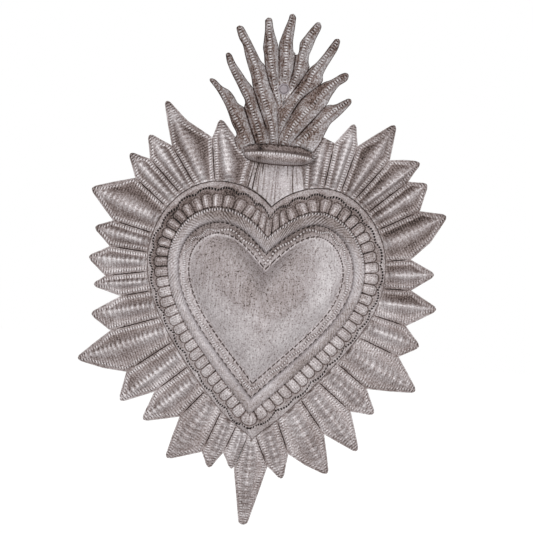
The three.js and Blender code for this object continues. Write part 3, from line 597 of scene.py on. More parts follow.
seat = press_plain(seat_places, RAY_FLAT - ROOT_STEP / 2, SHADED, 1, 1)
make_piece("ray_plate", [*rays, root_band, seat], chased_steel)

# Border of the heart. A band of the same sheet, chased with a scalloped row of punched dots and a ring of
# arches, dished up to the moulding, and held by tabs that go through the ray plate and fold over behind it.
LAID = RAY_FLAT + LAP_GAP + SHEET
MOULDING_START, FRAME_WIDTH, FRAME_RISE = 21, 24.5, 6
FRAME_TOP = LAID + FRAME_RISE
FRAME_STEP = 0.55
frame_insets = np.concatenate([np.arange(0, MOULDING_START + 1, FRAME_STEP), [FRAME_WIDTH]])
frame_places = heart_rows(frame_insets)
frame_x, frame_z = frame_places[..., 0], frame_places[..., 1]
station = np.arange(STATIONS)[None, :]
inset = frame_insets[:, None]
frame_base = LAID + FRAME_RISE * np.sin(pi / 2 * np.minimum(1, inset / MOULDING_START)) + 0 * station
way_in = (dome_points - outline_points) / BORDER_SIDE


def row_lean(row):
    """How square the way in stands to a row round the heart, and by how many stations a millimetre in shifts
    along it."""
    step = (np.roll(row, -1, axis=0) - np.roll(row, 1, axis=0)) / 2
    spacing = np.hypot(*step.T)
    square = np.abs(step[:, 0] * way_in[:, 1] - step[:, 1] * way_in[:, 0]) / spacing
    return square, np.sum(step * way_in, axis=1) / spacing ** 2


# Each point's station along the feet of the arches, and its height above them. The arches stand square on the
# moulding's line, but by the notch they follow the way in.
NOTCH_BLEND = 60  # in stations
foot_line = heart_rows([MOULDING_START])[0]
arch_square, arch_shear = row_lean(foot_line)
past_notch = ease(0, NOTCH_BLEND, STATIONS / 2 - np.abs(station - STATIONS / 2))
arch_at = station - arch_shear * past_notch * (MOULDING_START - inset)
arch_up = (MOULDING_START - inset) * arch_square


def along_line(at, stops, points):
    """Places along a line whose own points lie at the stops."""
    return np.column_stack([np.interp(at, stops, axis) for axis in points.T])


# Round the heart's tip the arches fan out, so there the nearest place on the moulding's line counts, with the
# line's corner rounded
TIP_REACH, TIP_BLEND, CORNER = 110, 50, 16  # in stations
FINER = 6  # places on the rounded line to a station
tip_station = STATIONS // 2
tip_stations = np.arange(tip_station - TIP_REACH, tip_station + TIP_REACH + 1)
lead = np.arange(tip_station - 2 * TIP_REACH, tip_station + 2 * TIP_REACH + 1)
corner_share = np.ones(2 * CORNER + 1) / (2 * CORNER + 1)
rounded = np.column_stack([np.convolve(axis, corner_share, "valid") for axis in foot_line[lead].T])
fine_stations = np.arange(lead[CORNER], lead[-CORNER - 1], 1 / FINER)
fine_line = along_line(fine_stations, lead[CORNER:-CORNER], rounded)
fan_up, fan_at = arch_up.copy(), station + 0 * arch_up
for row_up, row_at, row in zip(fan_up, fan_at, frame_places):
    away = np.hypot(*(row[tip_stations, None] - fine_line).transpose(2, 0, 1))
    row_up[tip_stations] = away.min(axis=1)
    row_at[tip_stations] = fine_stations[away.argmin(axis=1)]
by_tip = ease(TIP_REACH, TIP_REACH - TIP_BLEND, np.abs(station - tip_station))
arch_at = arch_at + by_tip * (fan_at - arch_at)
arch_up = arch_up + by_tip * (fan_up - arch_up)

# The arches: a round-topped line, and within it a raised pad with ticks and lines scratched along it. Each
# has its own tone, skew and height, because they were struck by hand.
ARCH_HEIGHT, ARCH_PITCH, ARCH_SHARE, ARCH_SHOULDER = 13.5, 11.6, 0.475, 4.2
ARCH_WAIST = 6  # the height that an arch's skew turns about
TICK, PAD_LINE = 2.2, 2.3  # from one tick, and from one scratched line, to the next
arch_station = arch_at + ARCH_STATIONS / 2
arch_number = np.floor(arch_station / ARCH_STATIONS).astype(int) % ARCHES
own_tone, own_skew, own_height = seeded.uniform(-1, 1, (3, ARCHES))[:, arch_number]
arch_x = (arch_station / ARCH_STATIONS % 1 - 0.5) * ARCH_PITCH + 0.05 * own_skew * (arch_up - ARCH_WAIST)
over_lobes = ease(-165, -120, frame_z)
arch_top = layered(
    ARCH_HEIGHT,
    (0.8, own_height),
    (-1.2, ease(0, -25, frame_x) * over_lobes),
    (-1.2, ease(-230, -280, frame_z)),
    (2.6, ridge(station - tip_station, 25)),
)
beside = np.abs(arch_x) - ARCH_SHARE * ARCH_PITCH + ARCH_SHOULDER
above = arch_up - arch_top + ARCH_SHOULDER
past_corner = np.hypot(np.maximum(beside, 0), np.maximum(above, 0))
outside = past_corner + np.minimum(np.maximum(beside, above), 0) - ARCH_SHOULDER
arch_line = ridge(outside, 0.45)
arch_pad = ease(0.2, 2.4, -outside)
inner_ticks = (ridge(outside + 2.1, 0.5) + ridge(arch_x, 0.5)) * (arch_up % TICK < TICK / 2) * (outside < -1)
pad_lines = np.cos(2 * pi * arch_x / PAD_LINE + 3 * own_tone) * arch_pad
blotch = ridge(arch_x - 1.6 * own_skew + 0.12 * (arch_up - ARCH_WAIST) * own_tone, 1.9)
blotch = blotch * ease(0, 3, arch_up) * ease(14, 9, arch_up) * arch_pad

# The scalloped row of dots, the line along the border's edge, and dashes along the moulding's foot
DOT_ROW, DOT_LIFT, DOT_WAVE = 5.5, 2.8, 2.8  # the dots run further in over the lobes
DOT_STATIONS, DOT_LENGTH, DOT_HALF = 5, 3, 0.85  # pitch and length in stations, and half the width
DOT_SPREAD = 1.25  # how much further apart the stations are along the dots where they go round the tip
FOOT_DASH, FOOT_DASH_LENGTH = 8, 5  # in stations
dot_inset = DOT_ROW + DOT_LIFT * over_lobes - DOT_WAVE * np.abs(np.sin(pi * station / (2 * ARCH_STATIONS)))
dot_up = (MOULDING_START - dot_inset) * arch_square[tip_stations[0]]
off_dots = by_tip * (dot_up - fan_up) + (1 - by_tip) * (inset - dot_inset)
dot_at = station + by_tip * (fan_at - station + DOT_SPREAD * np.clip(fan_at - tip_station, -CORNER, CORNER))
dots = (np.abs(off_dots) < DOT_HALF) * (dot_at % DOT_STATIONS < DOT_LENGTH)
outer_line = ridge(inset, 0.6) * (0.6 + 0.4 * over_lobes)
foot_dashes = ridge(inset - MOULDING_START + 0.5, 0.5) * (station % FOOT_DASH < FOOT_DASH_LENGTH)
browned = layered(
    near(frame_places, -65, -128, 50),
    (0.7, near(frame_places, 45, -118, 50)),
    (0.5, near(frame_places, -106, -165, 25)),
)
frame_level = layered(frame_base, (0.4, arch_pad), (-0.5, arch_line), (-0.7, dots), (-0.15, inner_ticks))
frame_tarnish = layered(
    0.34,
    (0.06, ease(0, 1, outside)),
    (0.05, own_tone),
    (0.32, browned * ease(3, 6, inset)),
    (0.08, ease(-200, -120, frame_z)),
    (-0.05, arch_pad),
    (0.56 - 0.33 * over_lobes * ease(80, 50, frame_x), arch_line),
    # painted highlight: a light line just inside each arch's outline
    (-0.1, ridge(outside + 1.3, 0.5)),
    (0.2, inner_ticks),
    (0.09, pad_lines),
    (-0.06 - 0.34 * browned, blotch),
    (0.95, dots),
    (-0.15, ridge(off_dots, 1.6)),
    (-0.1, ease(0, -3, off_dots)),
    (1, outer_line),
    (0.4, foot_dashes),
)
border = press(frame_places, frame_level, frame_base, frame_tarnish,
               kept(len(frame_insets), 6), kept(STATIONS, 5), True)

TAB_WIDTH, TAB_FOOT, TAB_INSET, TAB_TARNISH = 8, 4.6, 6, 0.2
TAB_TURNS = np.array([0.08, 0.22, 0.34, 0.45])  # shares of the way round; the other half has the same


def folded_tab(place, inward):
    """A tab's end, folded over and lying on the wall: from a place on the hanging, running inward."""
    aside = np.array([inward[1], -inward[0]])
    ends = ((-1, -SHEET / 2), (1, -SHEET / 2), (1, TAB_FOOT), (-1, TAB_FOOT))
    corners = [place + aside * side * TAB_WIDTH / 2 + inward * reach for side, reach in ends]
    points = np.array([[*corner, level] for level in (0, SHEET) for corner in corners])
    faces = [[3, 2, 1, 0], [4, 5, 6, 7], [0, 1, 5, 4], [1, 2, 6, 5], [2, 3, 7, 6], [3, 0, 4, 7]]
    return points, faces, np.full(len(points), TAB_TARNISH)


tab_turns = np.concatenate([TAB_TURNS, 1 - TAB_TURNS])
tab_outer, tab_inner = along_heart(outline, tab_turns), along_heart(dome_edge, tab_turns)
tab_places = tab_outer + (tab_inner - tab_outer) * TAB_INSET / BORDER_SIDE
tab_inward = (tab_inner - tab_places) / np.hypot(*(tab_inner - tab_places).T)[:, None]
tabs = [folded_tab(place, inward) for place, inward in zip(tab_places, tab_inward)]
make_piece("heart_frame", [border, *tabs], chased_steel)

# Rope moulding. A strip bent half round and chased with slanting flutes, sweated over the seam between the
# border and the dome, and rubbed the brightest of all because it stands proud.
MOULDING_WIDTH, MOULDING_RISE, MOULDING_ROWS = 10.5, 2.8, 25
INNER_FALL = 1.7  # the inner side is hollower than a half round
FLANGE = FRAME_TOP - SHEET - LAP_GAP
FLUTE_STATIONS, FLUTE_SLANT = 8, 2.6  # a flute's width along, and its slant per millimetre in
BEAD_STATIONS = 6  # the pitch of the beads at its foot, and of those round the dome
round_share = np.linspace(0, 1, MOULDING_ROWS)[:, None]
moulding_insets = MOULDING_START + MOULDING_WIDTH * (1 - np.cos(pi * round_share[:, 0])) / 2
moulding_places = heart_rows(moulding_insets)
moulding_x, moulding_z = moulding_places[..., 0], moulding_places[..., 1]
moulding_foot = FRAME_TOP + (FLANGE - FRAME_TOP) * round_share + LAP_GAP + SHEET
moulding_round = np.sin(pi * round_share) ** np.where(round_share > 0.5, INNER_FALL, 1)
moulding_base = moulding_foot + MOULDING_RISE * moulding_round + 0 * station
half_side = np.where(station < STATIONS / 2, 1, -1)
flute = np.cos(2 * pi * (station + half_side * FLUTE_SLANT * moulding_insets[:, None]) / FLUTE_STATIONS)
flute_depth = 0.07 + 0.2 * ease(-300, -170, moulding_z) * (1 - 0.6 * ease(55, 85, moulding_x))
flute_depth = flute_depth * (0.65 + 0.35 * np.sin(station * 0.13 + 2 * np.sin(station * 0.031)))
foot_row = ridge(round_share - 0.2, 0.08) * ease(-190, -150, moulding_z)
moulding_level = layered(
    moulding_base,
    (flute_depth, flute * np.sin(pi * round_share)),
    (-0.75 * SHEET, ease(0.12, 0, round_share) + ease(0.88, 1, round_share)),
)
moulding_tarnish = layered(
    0.33,
    (-0.9, flute_depth * flute),
    # painted light: the roll's inner, hollower side is coloured lighter against the shade it lies in
    (-0.17, ease(0.45, 0.75, round_share)),
    (-0.12, ease(0.85, 1, round_share)),
    (0.32, ease(-180, -125, moulding_z)),
    (0.14, ease(10, 50, moulding_x) * ease(-180, -220, moulding_z)),
    (0.12, ease(-270, -320, moulding_z)),
    (np.where(station % BEAD_STATIONS < BEAD_STATIONS / 2, -0.6, 0.35), foot_row),
)
# Rubbed steel: handled and wiped until it is paler and cleaner than the sheets around it, so it reads as a
# bright line
RUBBED_TONES = [(0.0, "#d8d3d5"), (0.3, "#b3abac"), (0.6, "#887c78"), (0.85, "#584a45"), (1.0, "#1d1817")]
rubbed_steel = patinated_steel(
    "rubbed_bright_steel", RUBBED_TONES, cloud=(30, 0.5), speck=(1.6, 0.65), stroke=(1.1, 0.55),
)
moulding = press(moulding_places, moulding_level, moulding_base, moulding_tarnish,
                 kept(MOULDING_ROWS, 4), kept(STATIONS, 5), True)
make_piece("rope_moulding", [moulding], rubbed_steel)

# Dome. The middle of the heart, sunk from behind over a block and planished, with a bead band chased between
# two dashed lines along its flange; it was drawn over with a fine abrasive, up and down.
FLANGE_LAP, BEAD_RISE, DOME_FULLNESS = 3, 1, 2.2
DOME_RISE = -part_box("heart_dome")[0][1] * METRE - FLANGE - BEAD_RISE / 2
DOME_CENTRE = np.array([0, DOME_LOBE[1] - 80])
BAND_START, BAND_STEP = MOULDING_START + MOULDING_WIDTH, 0.35
PAST_BAND = 60  # stands for the inset of every row on the dome itself
dome_insets = np.concatenate([
    [FRAME_WIDTH - FLANGE_LAP], np.arange(BAND_START - 0.6, BORDER_SIDE + 1.4, BAND_STEP),
])
# Rows on the dome itself, as shares of the way from its edge to the middle
swells = np.concatenate([np.linspace(0.03, 0.2, 8), np.linspace(0.24, 0.98, 20)])
edge_row = heart_rows([dome_insets[-1]])[0]
dome_places = np.concatenate([
    heart_rows(dome_insets), edge_row + swells[:, None, None] * (DOME_CENTRE - edge_row),
])
dome_x, dome_z = dome_places[..., 0], dome_places[..., 1]
dome_inset = np.concatenate([dome_insets, np.full(len(swells), PAST_BAND)])[:, None]
swell = np.concatenate([np.zeros(len(dome_insets)), swells])[:, None]
bead_share = (dome_inset - BAND_START) / (BORDER_SIDE - BAND_START)
band_base = FLANGE + BEAD_RISE * np.where(bead_share < 0.5, np.clip(12 * bead_share, 0, 1), 1.5 - bead_share)
dome_curve = FLANGE + BEAD_RISE / 2 + DOME_RISE * (1 - (1 - swell) ** DOME_FULLNESS)
DENTS = [(57, 0.8, 0.5), (37, 0.5, 2.1), (23, 0.2, 4.0)]  # planishing: wave length, depth and phase
dents = sum(
    depth * np.sin(2 * pi * dome_x / size + phase) * np.sin(2 * pi * dome_z / size + 2 * phase)
    for size, depth, phase in DENTS
)
dome_base = np.where(dome_inset <= BORDER_SIDE, band_base, dome_curve) + 0 * station
dome_base = dome_base + dents * ease(0, 0.25, swell)

# The row of beads, the gaps between them, and the dashed lines to both sides
BEAD_ROW, BEAD_LIFT, BEAD_WAVE = 36.8, 2.2, 1  # the row runs nearer the dome over the left lobe
OUTER_DASH, INNER_DASH, DASH_STATIONS, LOBE_DASH_STATIONS = 32.4, 42.3, 15, 10
up_high = ease(-190, -155, dome_z)
bead_inset = layered(
    BEAD_ROW,
    (BEAD_LIFT, near(dome_places, -52, -146, 30)),
    ((1 + 0.5 * up_high) * BEAD_WAVE, np.cos(2 * pi * station / (3 * ARCH_STATIONS))),
)
squarely, sheared = row_lean(edge_row)
off_row = dome_inset - bead_inset
bead_turn = 0.5 + np.cos(2 * pi * (station + sheared * off_row) / BEAD_STATIONS)
bead_number = (station + BEAD_STATIONS // 2) // BEAD_STATIONS
bead_struck = strikes.uniform(0.8, 1.12, STATIONS // BEAD_STATIONS + 1)[bead_number]
beads = ridge(off_row * squarely, 0.95) * np.clip(1.5 * bead_turn, 0, 1) * bead_struck
gaps = ridge(off_row * squarely, 1.1) * np.clip(-1.5 * bead_turn, 0, 1)
dash_stations = np.where(up_high > 0.5, LOBE_DASH_STATIONS, DASH_STATIONS)
dash_share = station % dash_stations / dash_stations
outer_dashes = ridge(dome_inset - OUTER_DASH, 0.45) * (dash_share < 0.55)
inner_dashes = ridge(dome_inset - INNER_DASH, 0.55) * (dash_share < 0.7)
dashes = (0.6 + 0.5 * ease(-190, -230, dome_z) + 0.4 * up_high) * outer_dashes + inner_dashes
dome_level = layered(dome_base, (0.8, beads), (-0.5, dashes))

# Lighter and darker places on the dome: a darker, duller patch that ends in an arc below, painted shade under
# the lobes, a painted highlight in a streak on the right, and lighter towards the bottom
ARC_X, ARC_Z = 11, -231
HIGHLIGHT_X, HIGHLIGHT_Z = 60, -188
arc = ARC_Z + np.where(dome_x < ARC_X, 0.008, 0.028) * (dome_x - ARC_X) ** 2
dark_above_arc = ease(-2, 4, dome_z - arc) * ease(75, 40, np.abs(dome_x)) * ease(-175, -205, dome_z)
across_highlight = 0.96 * (dome_x - HIGHLIGHT_X) - 0.27 * (dome_z - HIGHLIGHT_Z)
along_highlight = 0.27 * (dome_x - HIGHLIGHT_X) + 0.96 * (dome_z - HIGHLIGHT_Z)
dome_tone = layered(
    0.31,
    (0.1, dark_above_arc),
    (0.21, near(dome_places, -40, -153, 33)),
    (0.13, near(dome_places, 22, -176, 26)),
    (-0.17, ridge(across_highlight, 13) * ridge(along_highlight, 38)),
    (-0.08, ease(-215, -250, dome_z)),
)
low_right = ease(-20, 50, dome_x) * ease(-190, -235, dome_z)
inner_lobes = ease(-88, -68, dome_x) * ease(78, 55, dome_x) * ease(-174, -156, dome_z)
band_tone = layered(
    0.3,
    (0.14, up_high * ease(0.75, 0.5, bead_share)),
    (0.2, inner_lobes * ease(1, 0.88, bead_share)),
    (0.16 + 0.2 * low_right, ridge(off_row * squarely, 2.4)),
    # painted light: the band is coloured lighter where it meets the moulding's foot, against the shade of
    # that step
    (-0.25, ridge(dome_inset - BAND_START - 0.2, 0.7)),
    (0.12, ease(-260, -310, dome_z)),
)
dome_tarnish = layered(
    np.where(swell > 0, dome_tone, band_tone),
    (-0.85, beads),
    (0.12, gaps),
    (0.7, dashes),
    # painted shade: a small darker spot just below the dome's middle, over a highlight that its dents catch
    # there
    (0.09, near(dome_places, 1.5, -234, 9)),
)
# Brushed steel: the abrasive drew its mottling out into upright streaks, so it looks smooth and silky, with
# rusty pits scattered over it
BRUSHED_TONES = [(0.0, "#dad5d6"), (0.3, "#b4acad"), (0.55, "#948987"), (0.8, "#5e504b"), (1.0, "#1f1a19")]
brushed_steel = patinated_steel(
    "brushed_planished_steel", BRUSHED_TONES, cloud=(24, 0.35), speck=(1.5, 0.6), stroke=(1.4, 0.45),
    grain=(1, 1, 0.06), pits=0.3,
)
dome_top = [*DOME_CENTRE, dome_base[-1].mean()]
dome = press(dome_places, dome_level, dome_base, dome_tarnish,
             kept(len(dome_places), 3), kept(STATIONS, 5), True, dome_top)
make_piece("heart_dome", [dome], brushed_steel)

# Neck. A bowed piece of the same sheet between the heart's notch and the collar, scribed with uneven upright
# lines; its top is held under the collar, and its foot butts against the border.
NECK_TOP_HALF, NECK_FOOT_HALF, NECK_RISE = 24.5, 29, 3.5
NECK_ROWS, NECK_COLUMNS = 64, 121
NECK_GAP, NECK_TUCK = 0.6, 3  # from the border's edge, and under the collar
NECK_BOW = [(0, 0), (0.12, 0), (0.4, 1), (0.75, 0.9), (1, 0.4)]  # shares of the way down, and of the rise
FLAME_LEAN = radians(3.2)
TAIL_DEPTH, COLLAR_HEIGHT = 5, 21
FLAME_SEAT = RAY_FLAT + LAP_GAP + TAIL_DEPTH * sin(FLAME_LEAN)
COLLAR_RIM = FLAME_SEAT + COLLAR_HEIGHT / 2 * sin(FLAME_LEAN) + 2 * SHEET + LAP_GAP
neck_across = np.linspace(-1, 1, NECK_COLUMNS)
neck_down = np.linspace(0, 1, NECK_ROWS)[:, None]
foot_x = CROWN_X + neck_across * NECK_FOOT_HALF
order = np.argsort(outline_points[:STATIONS // 6, 0])
foot_z = np.interp(np.abs(foot_x), *outline_points[order].T) + NECK_GAP
top_x, top_z = CROWN_X + neck_across * NECK_TOP_HALF, COLLAR_Z - COLLAR_HEIGHT / 2 + NECK_TUCK
neck_places = np.dstack([top_x + neck_down * (foot_x - top_x), top_z + neck_down * (foot_z - top_z)])
neck_top = COLLAR_RIM - SHEET - LAP_GAP
neck_bow = np.interp(neck_down, *np.transpose(NECK_BOW))
neck_base = neck_top + neck_down * (LAID - neck_top) + NECK_RISE * neck_bow * (1 - neck_across ** 2)
SCRIBED = [  # where each line stands, from the left edge to the right one
    -0.93, -0.85, -0.77, -0.7, -0.62, -0.53, -0.45, -0.36, -0.27, -0.1,
    0.02, 0.09, 0.16, 0.27, 0.41, 0.55, 0.63, 0.78, 0.9,
]
scribed = sum(
    ridge(neck_across - at + 0.02 * np.sin(9 * at + 3 * neck_down), 0.021)
    * ease(0, 0.25, sin(40 * at) + 1.2 - neck_down) * (0.75 + 0.4 * sin(31 * at))
    for at in SCRIBED
)
sooted = layered(0.5, (0.5, ease(0.1, 0.45, np.abs(neck_across))), (0.25, ease(-0.15, -0.4, neck_across)))
neck_level = neck_base - 0.45 * scribed
neck_tarnish = layered(
    0.24,
    (0.62, scribed * sooted),
    (0.3, ease(0.2, 0, neck_down)),
    (0.3, ridge(1 - np.abs(neck_across), 0.03)),
)
neck = press(neck_places, neck_level, neck_base, neck_tarnish, kept(NECK_ROWS, 7), kept(NECK_COLUMNS, 12))
make_piece("neck_plate", [neck], rubbed_steel)

# Flames. Nine tongues raised in one sheet, each with a row of crosswise chisel marks along its ridge; the
# tail is tucked behind the collar, and the sheet leans forward a little. Edges and ridges run root to tip.
FLAME_RISE, FLAME_ROW = 4, 0.7
FLAME_NEAR = 8  # about how far the tongues stand off the wall
tongue_seams = {  # 12 lies between the first tongue and the second, and so on
    12: [(256, 147), (255, 141.7), (245, 110), (244, 107)],
    23: [(268, 147), (269, 138), (257.5, 101.7), (253, 88)],
    34: [(277.5, 104), (270, 85), (265, 66)],
    45: [(281, 98), (280, 88), (279, 70), (279, 50)],
    56: [(285, 98), (288, 88), (293, 72), (295.5, 55)],
    67: [(282, 105), (298, 85), (309, 69)],
    78: [(278.5, 137), (287, 122), (301, 100), (321, 84)],
    89: [(291, 148), (293, 141.7), (313, 120), (326, 106)],
}
low_seam = [(279, 147), (278.5, 131), (277.5, 112)]
TONGUES = [
    {"ridge": [(249, 147), (240, 128), (232, 112), (223, 96), (210, 78.5)],
     "left": [(237, 150), (234.5, 139), (236.5, 133.5), (232, 124), (229, 115), (226, 107), (222, 99),
              (216, 89), (209, 80)],
     "right": [*tongue_seams[12], (238, 103), (234, 96), (229, 90), (222, 86), (216, 80), (211, 77)]},
    {"ridge": [(262, 147), (258, 128), (252, 110), (245, 93), (237, 77), (229, 60), (228.3, 52.5)],
     "left": [*tongue_seams[12], (245, 101), (241, 92.5), (236.5, 83), (231, 72), (227, 62), (225.5, 53)],
     "right": [*tongue_seams[23], (247, 80), (241, 71), (235, 62), (231, 52.5)]},
    {"ridge": [(274, 147), (270, 120), (264, 100), (259, 80), (255, 64), (248, 45), (241, 33), (239.3, 25.5)],
     "left": [*tongue_seams[23], (251, 76), (248, 66), (245, 55), (243, 45.5), (239, 38), (236, 27)],
     "right": [*low_seam, *tongue_seams[34], (261, 61), (256, 51), (250, 39), (243, 26)]},
    {"ridge": [(280.5, 106), (277, 92), (274, 78), (271, 60), (270, 45), (269, 22), (268.5, 17.8)],
     "left": [*tongue_seams[34], (264, 54), (263, 48), (264, 39), (265, 29), (265, 18)],
     "right": [(281, 106), *tongue_seams[45], (277, 41), (274, 31), (272, 18)]},
    {"ridge": [(283, 104), (285, 90), (285, 78), (286, 60), (287, 40), (291, 20), (293, 14)],
     "left": [*tongue_seams[45], (279, 44), (281, 38), (284.5, 29), (288, 21), (290, 14.5)],
     "right": [(284, 104), *tongue_seams[56], (293.5, 51), (293, 43), (293.5, 38), (295, 28), (296.5, 15)]},
    {"ridge": [(283, 105), (290, 90), (296, 78), (300, 65), (303, 52), (308, 38), (315, 29), (319.5, 22.5)],
     "left": [*tongue_seams[56], (297, 56), (299, 51), (300, 43), (305, 36), (311, 28.5), (317, 22)],
     "right": [*tongue_seams[67], (308.6, 64), (309, 56), (312, 49), (316, 39), (320.6, 30), (322, 24)]},
    {"ridge": [(280, 130), (286, 118), (296, 103), (306, 87), (314, 72), (325, 57), (336, 44), (339, 39)],
     "left": [(278.5, 131), (277.5, 112), *tongue_seams[67], (316, 63), (323, 55), (329, 47), (335.5, 38.5)],
     "right": [*tongue_seams[78], (323, 75), (327, 67), (333, 57.5), (338, 49), (340.5, 41)]},
    {"ridge": [(282, 147), (291, 130), (300, 118), (312, 106), (323, 94), (333, 84), (344, 77),
               (348.5, 74.5)],
     "left": [(279, 147), *tongue_seams[78], (330.5, 80), (336, 77), (341, 74), (347, 72)],
     "right": [*tongue_seams[89], (330.5, 98), (334, 92.5), (339, 86), (346, 81.5), (349.5, 77)]},
    {"ridge": [(296, 148), (303, 139), (312, 131), (323, 120), (336, 109), (346, 103), (351.5, 100)],
     "left": [*tongue_seams[89], (335, 104.5), (342.5, 101), (350, 97.5)],
     "right": [(314, 152), (320, 144), (323.5, 137), (326, 132), (330.5, 124), (336, 119), (342.5, 113),
               (352, 103)]},
]
TONGUE_TARNISH = [0.12, 0.08, 0.02, 0, 0, 0, 0.03, 0.06, 0]  # how much more each tongue has


def curve_through(points, step):
    """A smooth line through points, with a point about every step."""
    points = np.array(points, float)
    padded = np.vstack([2 * points[0] - points[1], points, 2 * points[-1] - points[-2]])
    line = []
    for before, start, end, after in zip(padded, padded[1:], padded[2:], padded[3:]):
        t = np.linspace(0, 1, max(2, int(np.hypot(*(end - start)) / step)), endpoint=False)[:, None]
        bend = 2 * before - 5 * start + 4 * end - after
        twist = 3 * start - before - 3 * end + after
        line.append(0.5 * (2 * start + (end - before) * t + bend * t ** 2 + twist * t ** 3))
    return np.vstack([*line, points[-1:]])


SPINE_STEP, EDGE_STEP = 0.2, 0.5
TONGUE_END = np.array([0.5, 0.25, 0.08, 0.02])  # extra rows that round the tip off
TONGUE_ROUND = 3.2
TONGUE_COLUMNS = 12  # to each side of the ridge
CHISEL_ROWS = 4  # the rows that a chisel mark and the gap after it take
LAND = (6.3, 14)  # from the rivet: flat land for the washer, and where the tongues are full again
MARKED = (6, 8)  # and where the chisel marks begin


def press_tongue(tongue, more_tarnish):
    """A tongue with its ridge, the chiselled row along it, gullies beside that and seams along its edges."""
    spine = curve_through(from_photo(tongue["ridge"], FLAME_NEAR), SPINE_STEP)
    travel = distances(spine)
    rows = int(travel[-1] / FLAME_ROW)
    along = np.concatenate([np.arange(rows) * FLAME_ROW, travel[-1] - TONGUE_END])
    middle = along_line(along, travel, spine)
    cap = np.clip((along - travel[-1] + TONGUE_ROUND) / TONGUE_ROUND, 0, 1)
    sides = []
    for side in ("left", "right"):
        edge = curve_through(from_photo(tongue[side], FLAME_NEAR), EDGE_STEP)
        nearest = np.argmin(np.hypot(*(edge[:, None, :] - spine[None, :, :]).transpose(2, 0, 1)), axis=1)
        reached = np.maximum.accumulate(travel[nearest]) + np.arange(len(edge)) * HAIR
        sides.append((along_line(along, reached, edge) - middle) * np.sqrt(1 - cap ** 2)[:, None])
    share = np.linspace(0, 1, TONGUE_COLUMNS + 1)[1:]
    left, right = (out[:, None] * share[:, None] for out in sides)
    offsets = np.hstack([left[:, ::-1], np.zeros((len(along), 1, 2)), right])
    places = middle[:, None] + offsets
    flank_side = np.concatenate([-share[::-1], [0], share])
    across = np.abs(flank_side)[None, :] + 0 * along[:, None]
    aside = np.hypot(offsets[..., 0], offsets[..., 1])
    width = aside / np.maximum(across, 0.04)
    width[:, TONGUE_COLUMNS] = (width[:, TONGUE_COLUMNS - 1] + width[:, TONGUE_COLUMNS + 1]) / 2
    from_edge = width * (1 - across)
    up = (places[..., 1] - COLLAR_Z) / cos(FLAME_LEAN)
    from_rivet = np.hypot(places[..., 0] - CROWN_X, places[..., 1])
    land, marked = ease(*LAND, from_rivet), ease(*MARKED, from_rivet)
    to_tip = (travel[-1] - along)[:, None]
    full = land * ease(-8, 12, along[:, None]) * (0.45 + 0.55 * ease(0, 30, to_tip))
    full = full * ease(0, 5, width) * ease(-0.5, 3, to_tip)
    base = FLAME_SEAT + SHEET + up * sin(FLAME_LEAN) + FLAME_RISE * full * (1 - across ** 1.6)
    row = np.arange(len(along))[:, None]
    chisel = row % CHISEL_ROWS < CHISEL_ROWS / 2
    struck = seeded.uniform(0.55, 1.15, len(along) // CHISEL_ROWS + 1)[row // CHISEL_ROWS]
    spine_band = ridge(aside, 1.45) * ease(1.5, 4, width) * marked * struck
    gully = ridge(aside - 3.1, 0.9) * ease(3, 5, width) * marked
    seam = ridge(from_edge, 0.5)
    level = layered(base, (np.where(chisel, 0.55, -0.25), spine_band), (-0.25, gully), (-0.5, seam))
    tarnish = layered(
        0.48 + more_tarnish,
        (np.where(chisel, -0.46, 0.3), spine_band),
        (0.12, gully),
        (0.5, seam),
        (-0.1, ridge(from_edge - 1.4, 0.8)),
        (0.12, ease(16, 2, to_tip)),
        # painted light and shade: each tongue's right flank is coloured lighter and its left flank darker, as
        # if lit from the right
        (-0.1 * np.sign(flank_side), ease(0.25, 0.6, across) * land),
        (-0.04, ease(45, 15, up)),
        (-0.12, 1 - land),
    )
    return press(places, level, base, tarnish, kept(len(along), 4), kept(len(flank_side), 4))


# Chiselled steel: tarnished more unevenly than the other sheets, so it shows brown blotches between bright
# cuts
FLAME_TONES = [
    (0.0, "#dddadb"), (0.3, "#b1abac"), (0.5, "#938987"), (0.68, "#766159"), (0.85, "#4f3e37"),
    (1.0, "#191413"),
]
flame_steel = patinated_steel(
    "chiselled_patinated_steel", FLAME_TONES, cloud=(13, 0.85), speck=(1.6, 1.05), stroke=(1.2, 0.6),
)

# The flat web that the roots of the tongues share
WEB_SIDES = ([(262, 148), (272, 100), (276, 60)], [(296, 148), (290, 100), (292, 60)])
WEB_STOPS = [0, 0.55, 1]  # shares of the way up
web_left, web_right = (
    along_line(np.linspace(0, 1, 15), WEB_STOPS, from_photo(side, FLAME_NEAR)) for side in WEB_SIDES
)
web_places = web_left[:, None] + np.linspace(0, 1, 9)[:, None] * (web_right - web_left)[:, None]
web_up = (web_places[..., 1] - COLLAR_Z) / cos(FLAME_LEAN)
web = press_plain(web_places, FLAME_SEAT + SHEET - ROOT_STEP + web_up * sin(FLAME_LEAN), SHADED, 2, 2)
tongues = [press_tongue(tongue, more) for tongue, more in zip(TONGUES, TONGUE_TARNISH)]
make_piece("flame_spray", [*tongues, web], flame_steel)

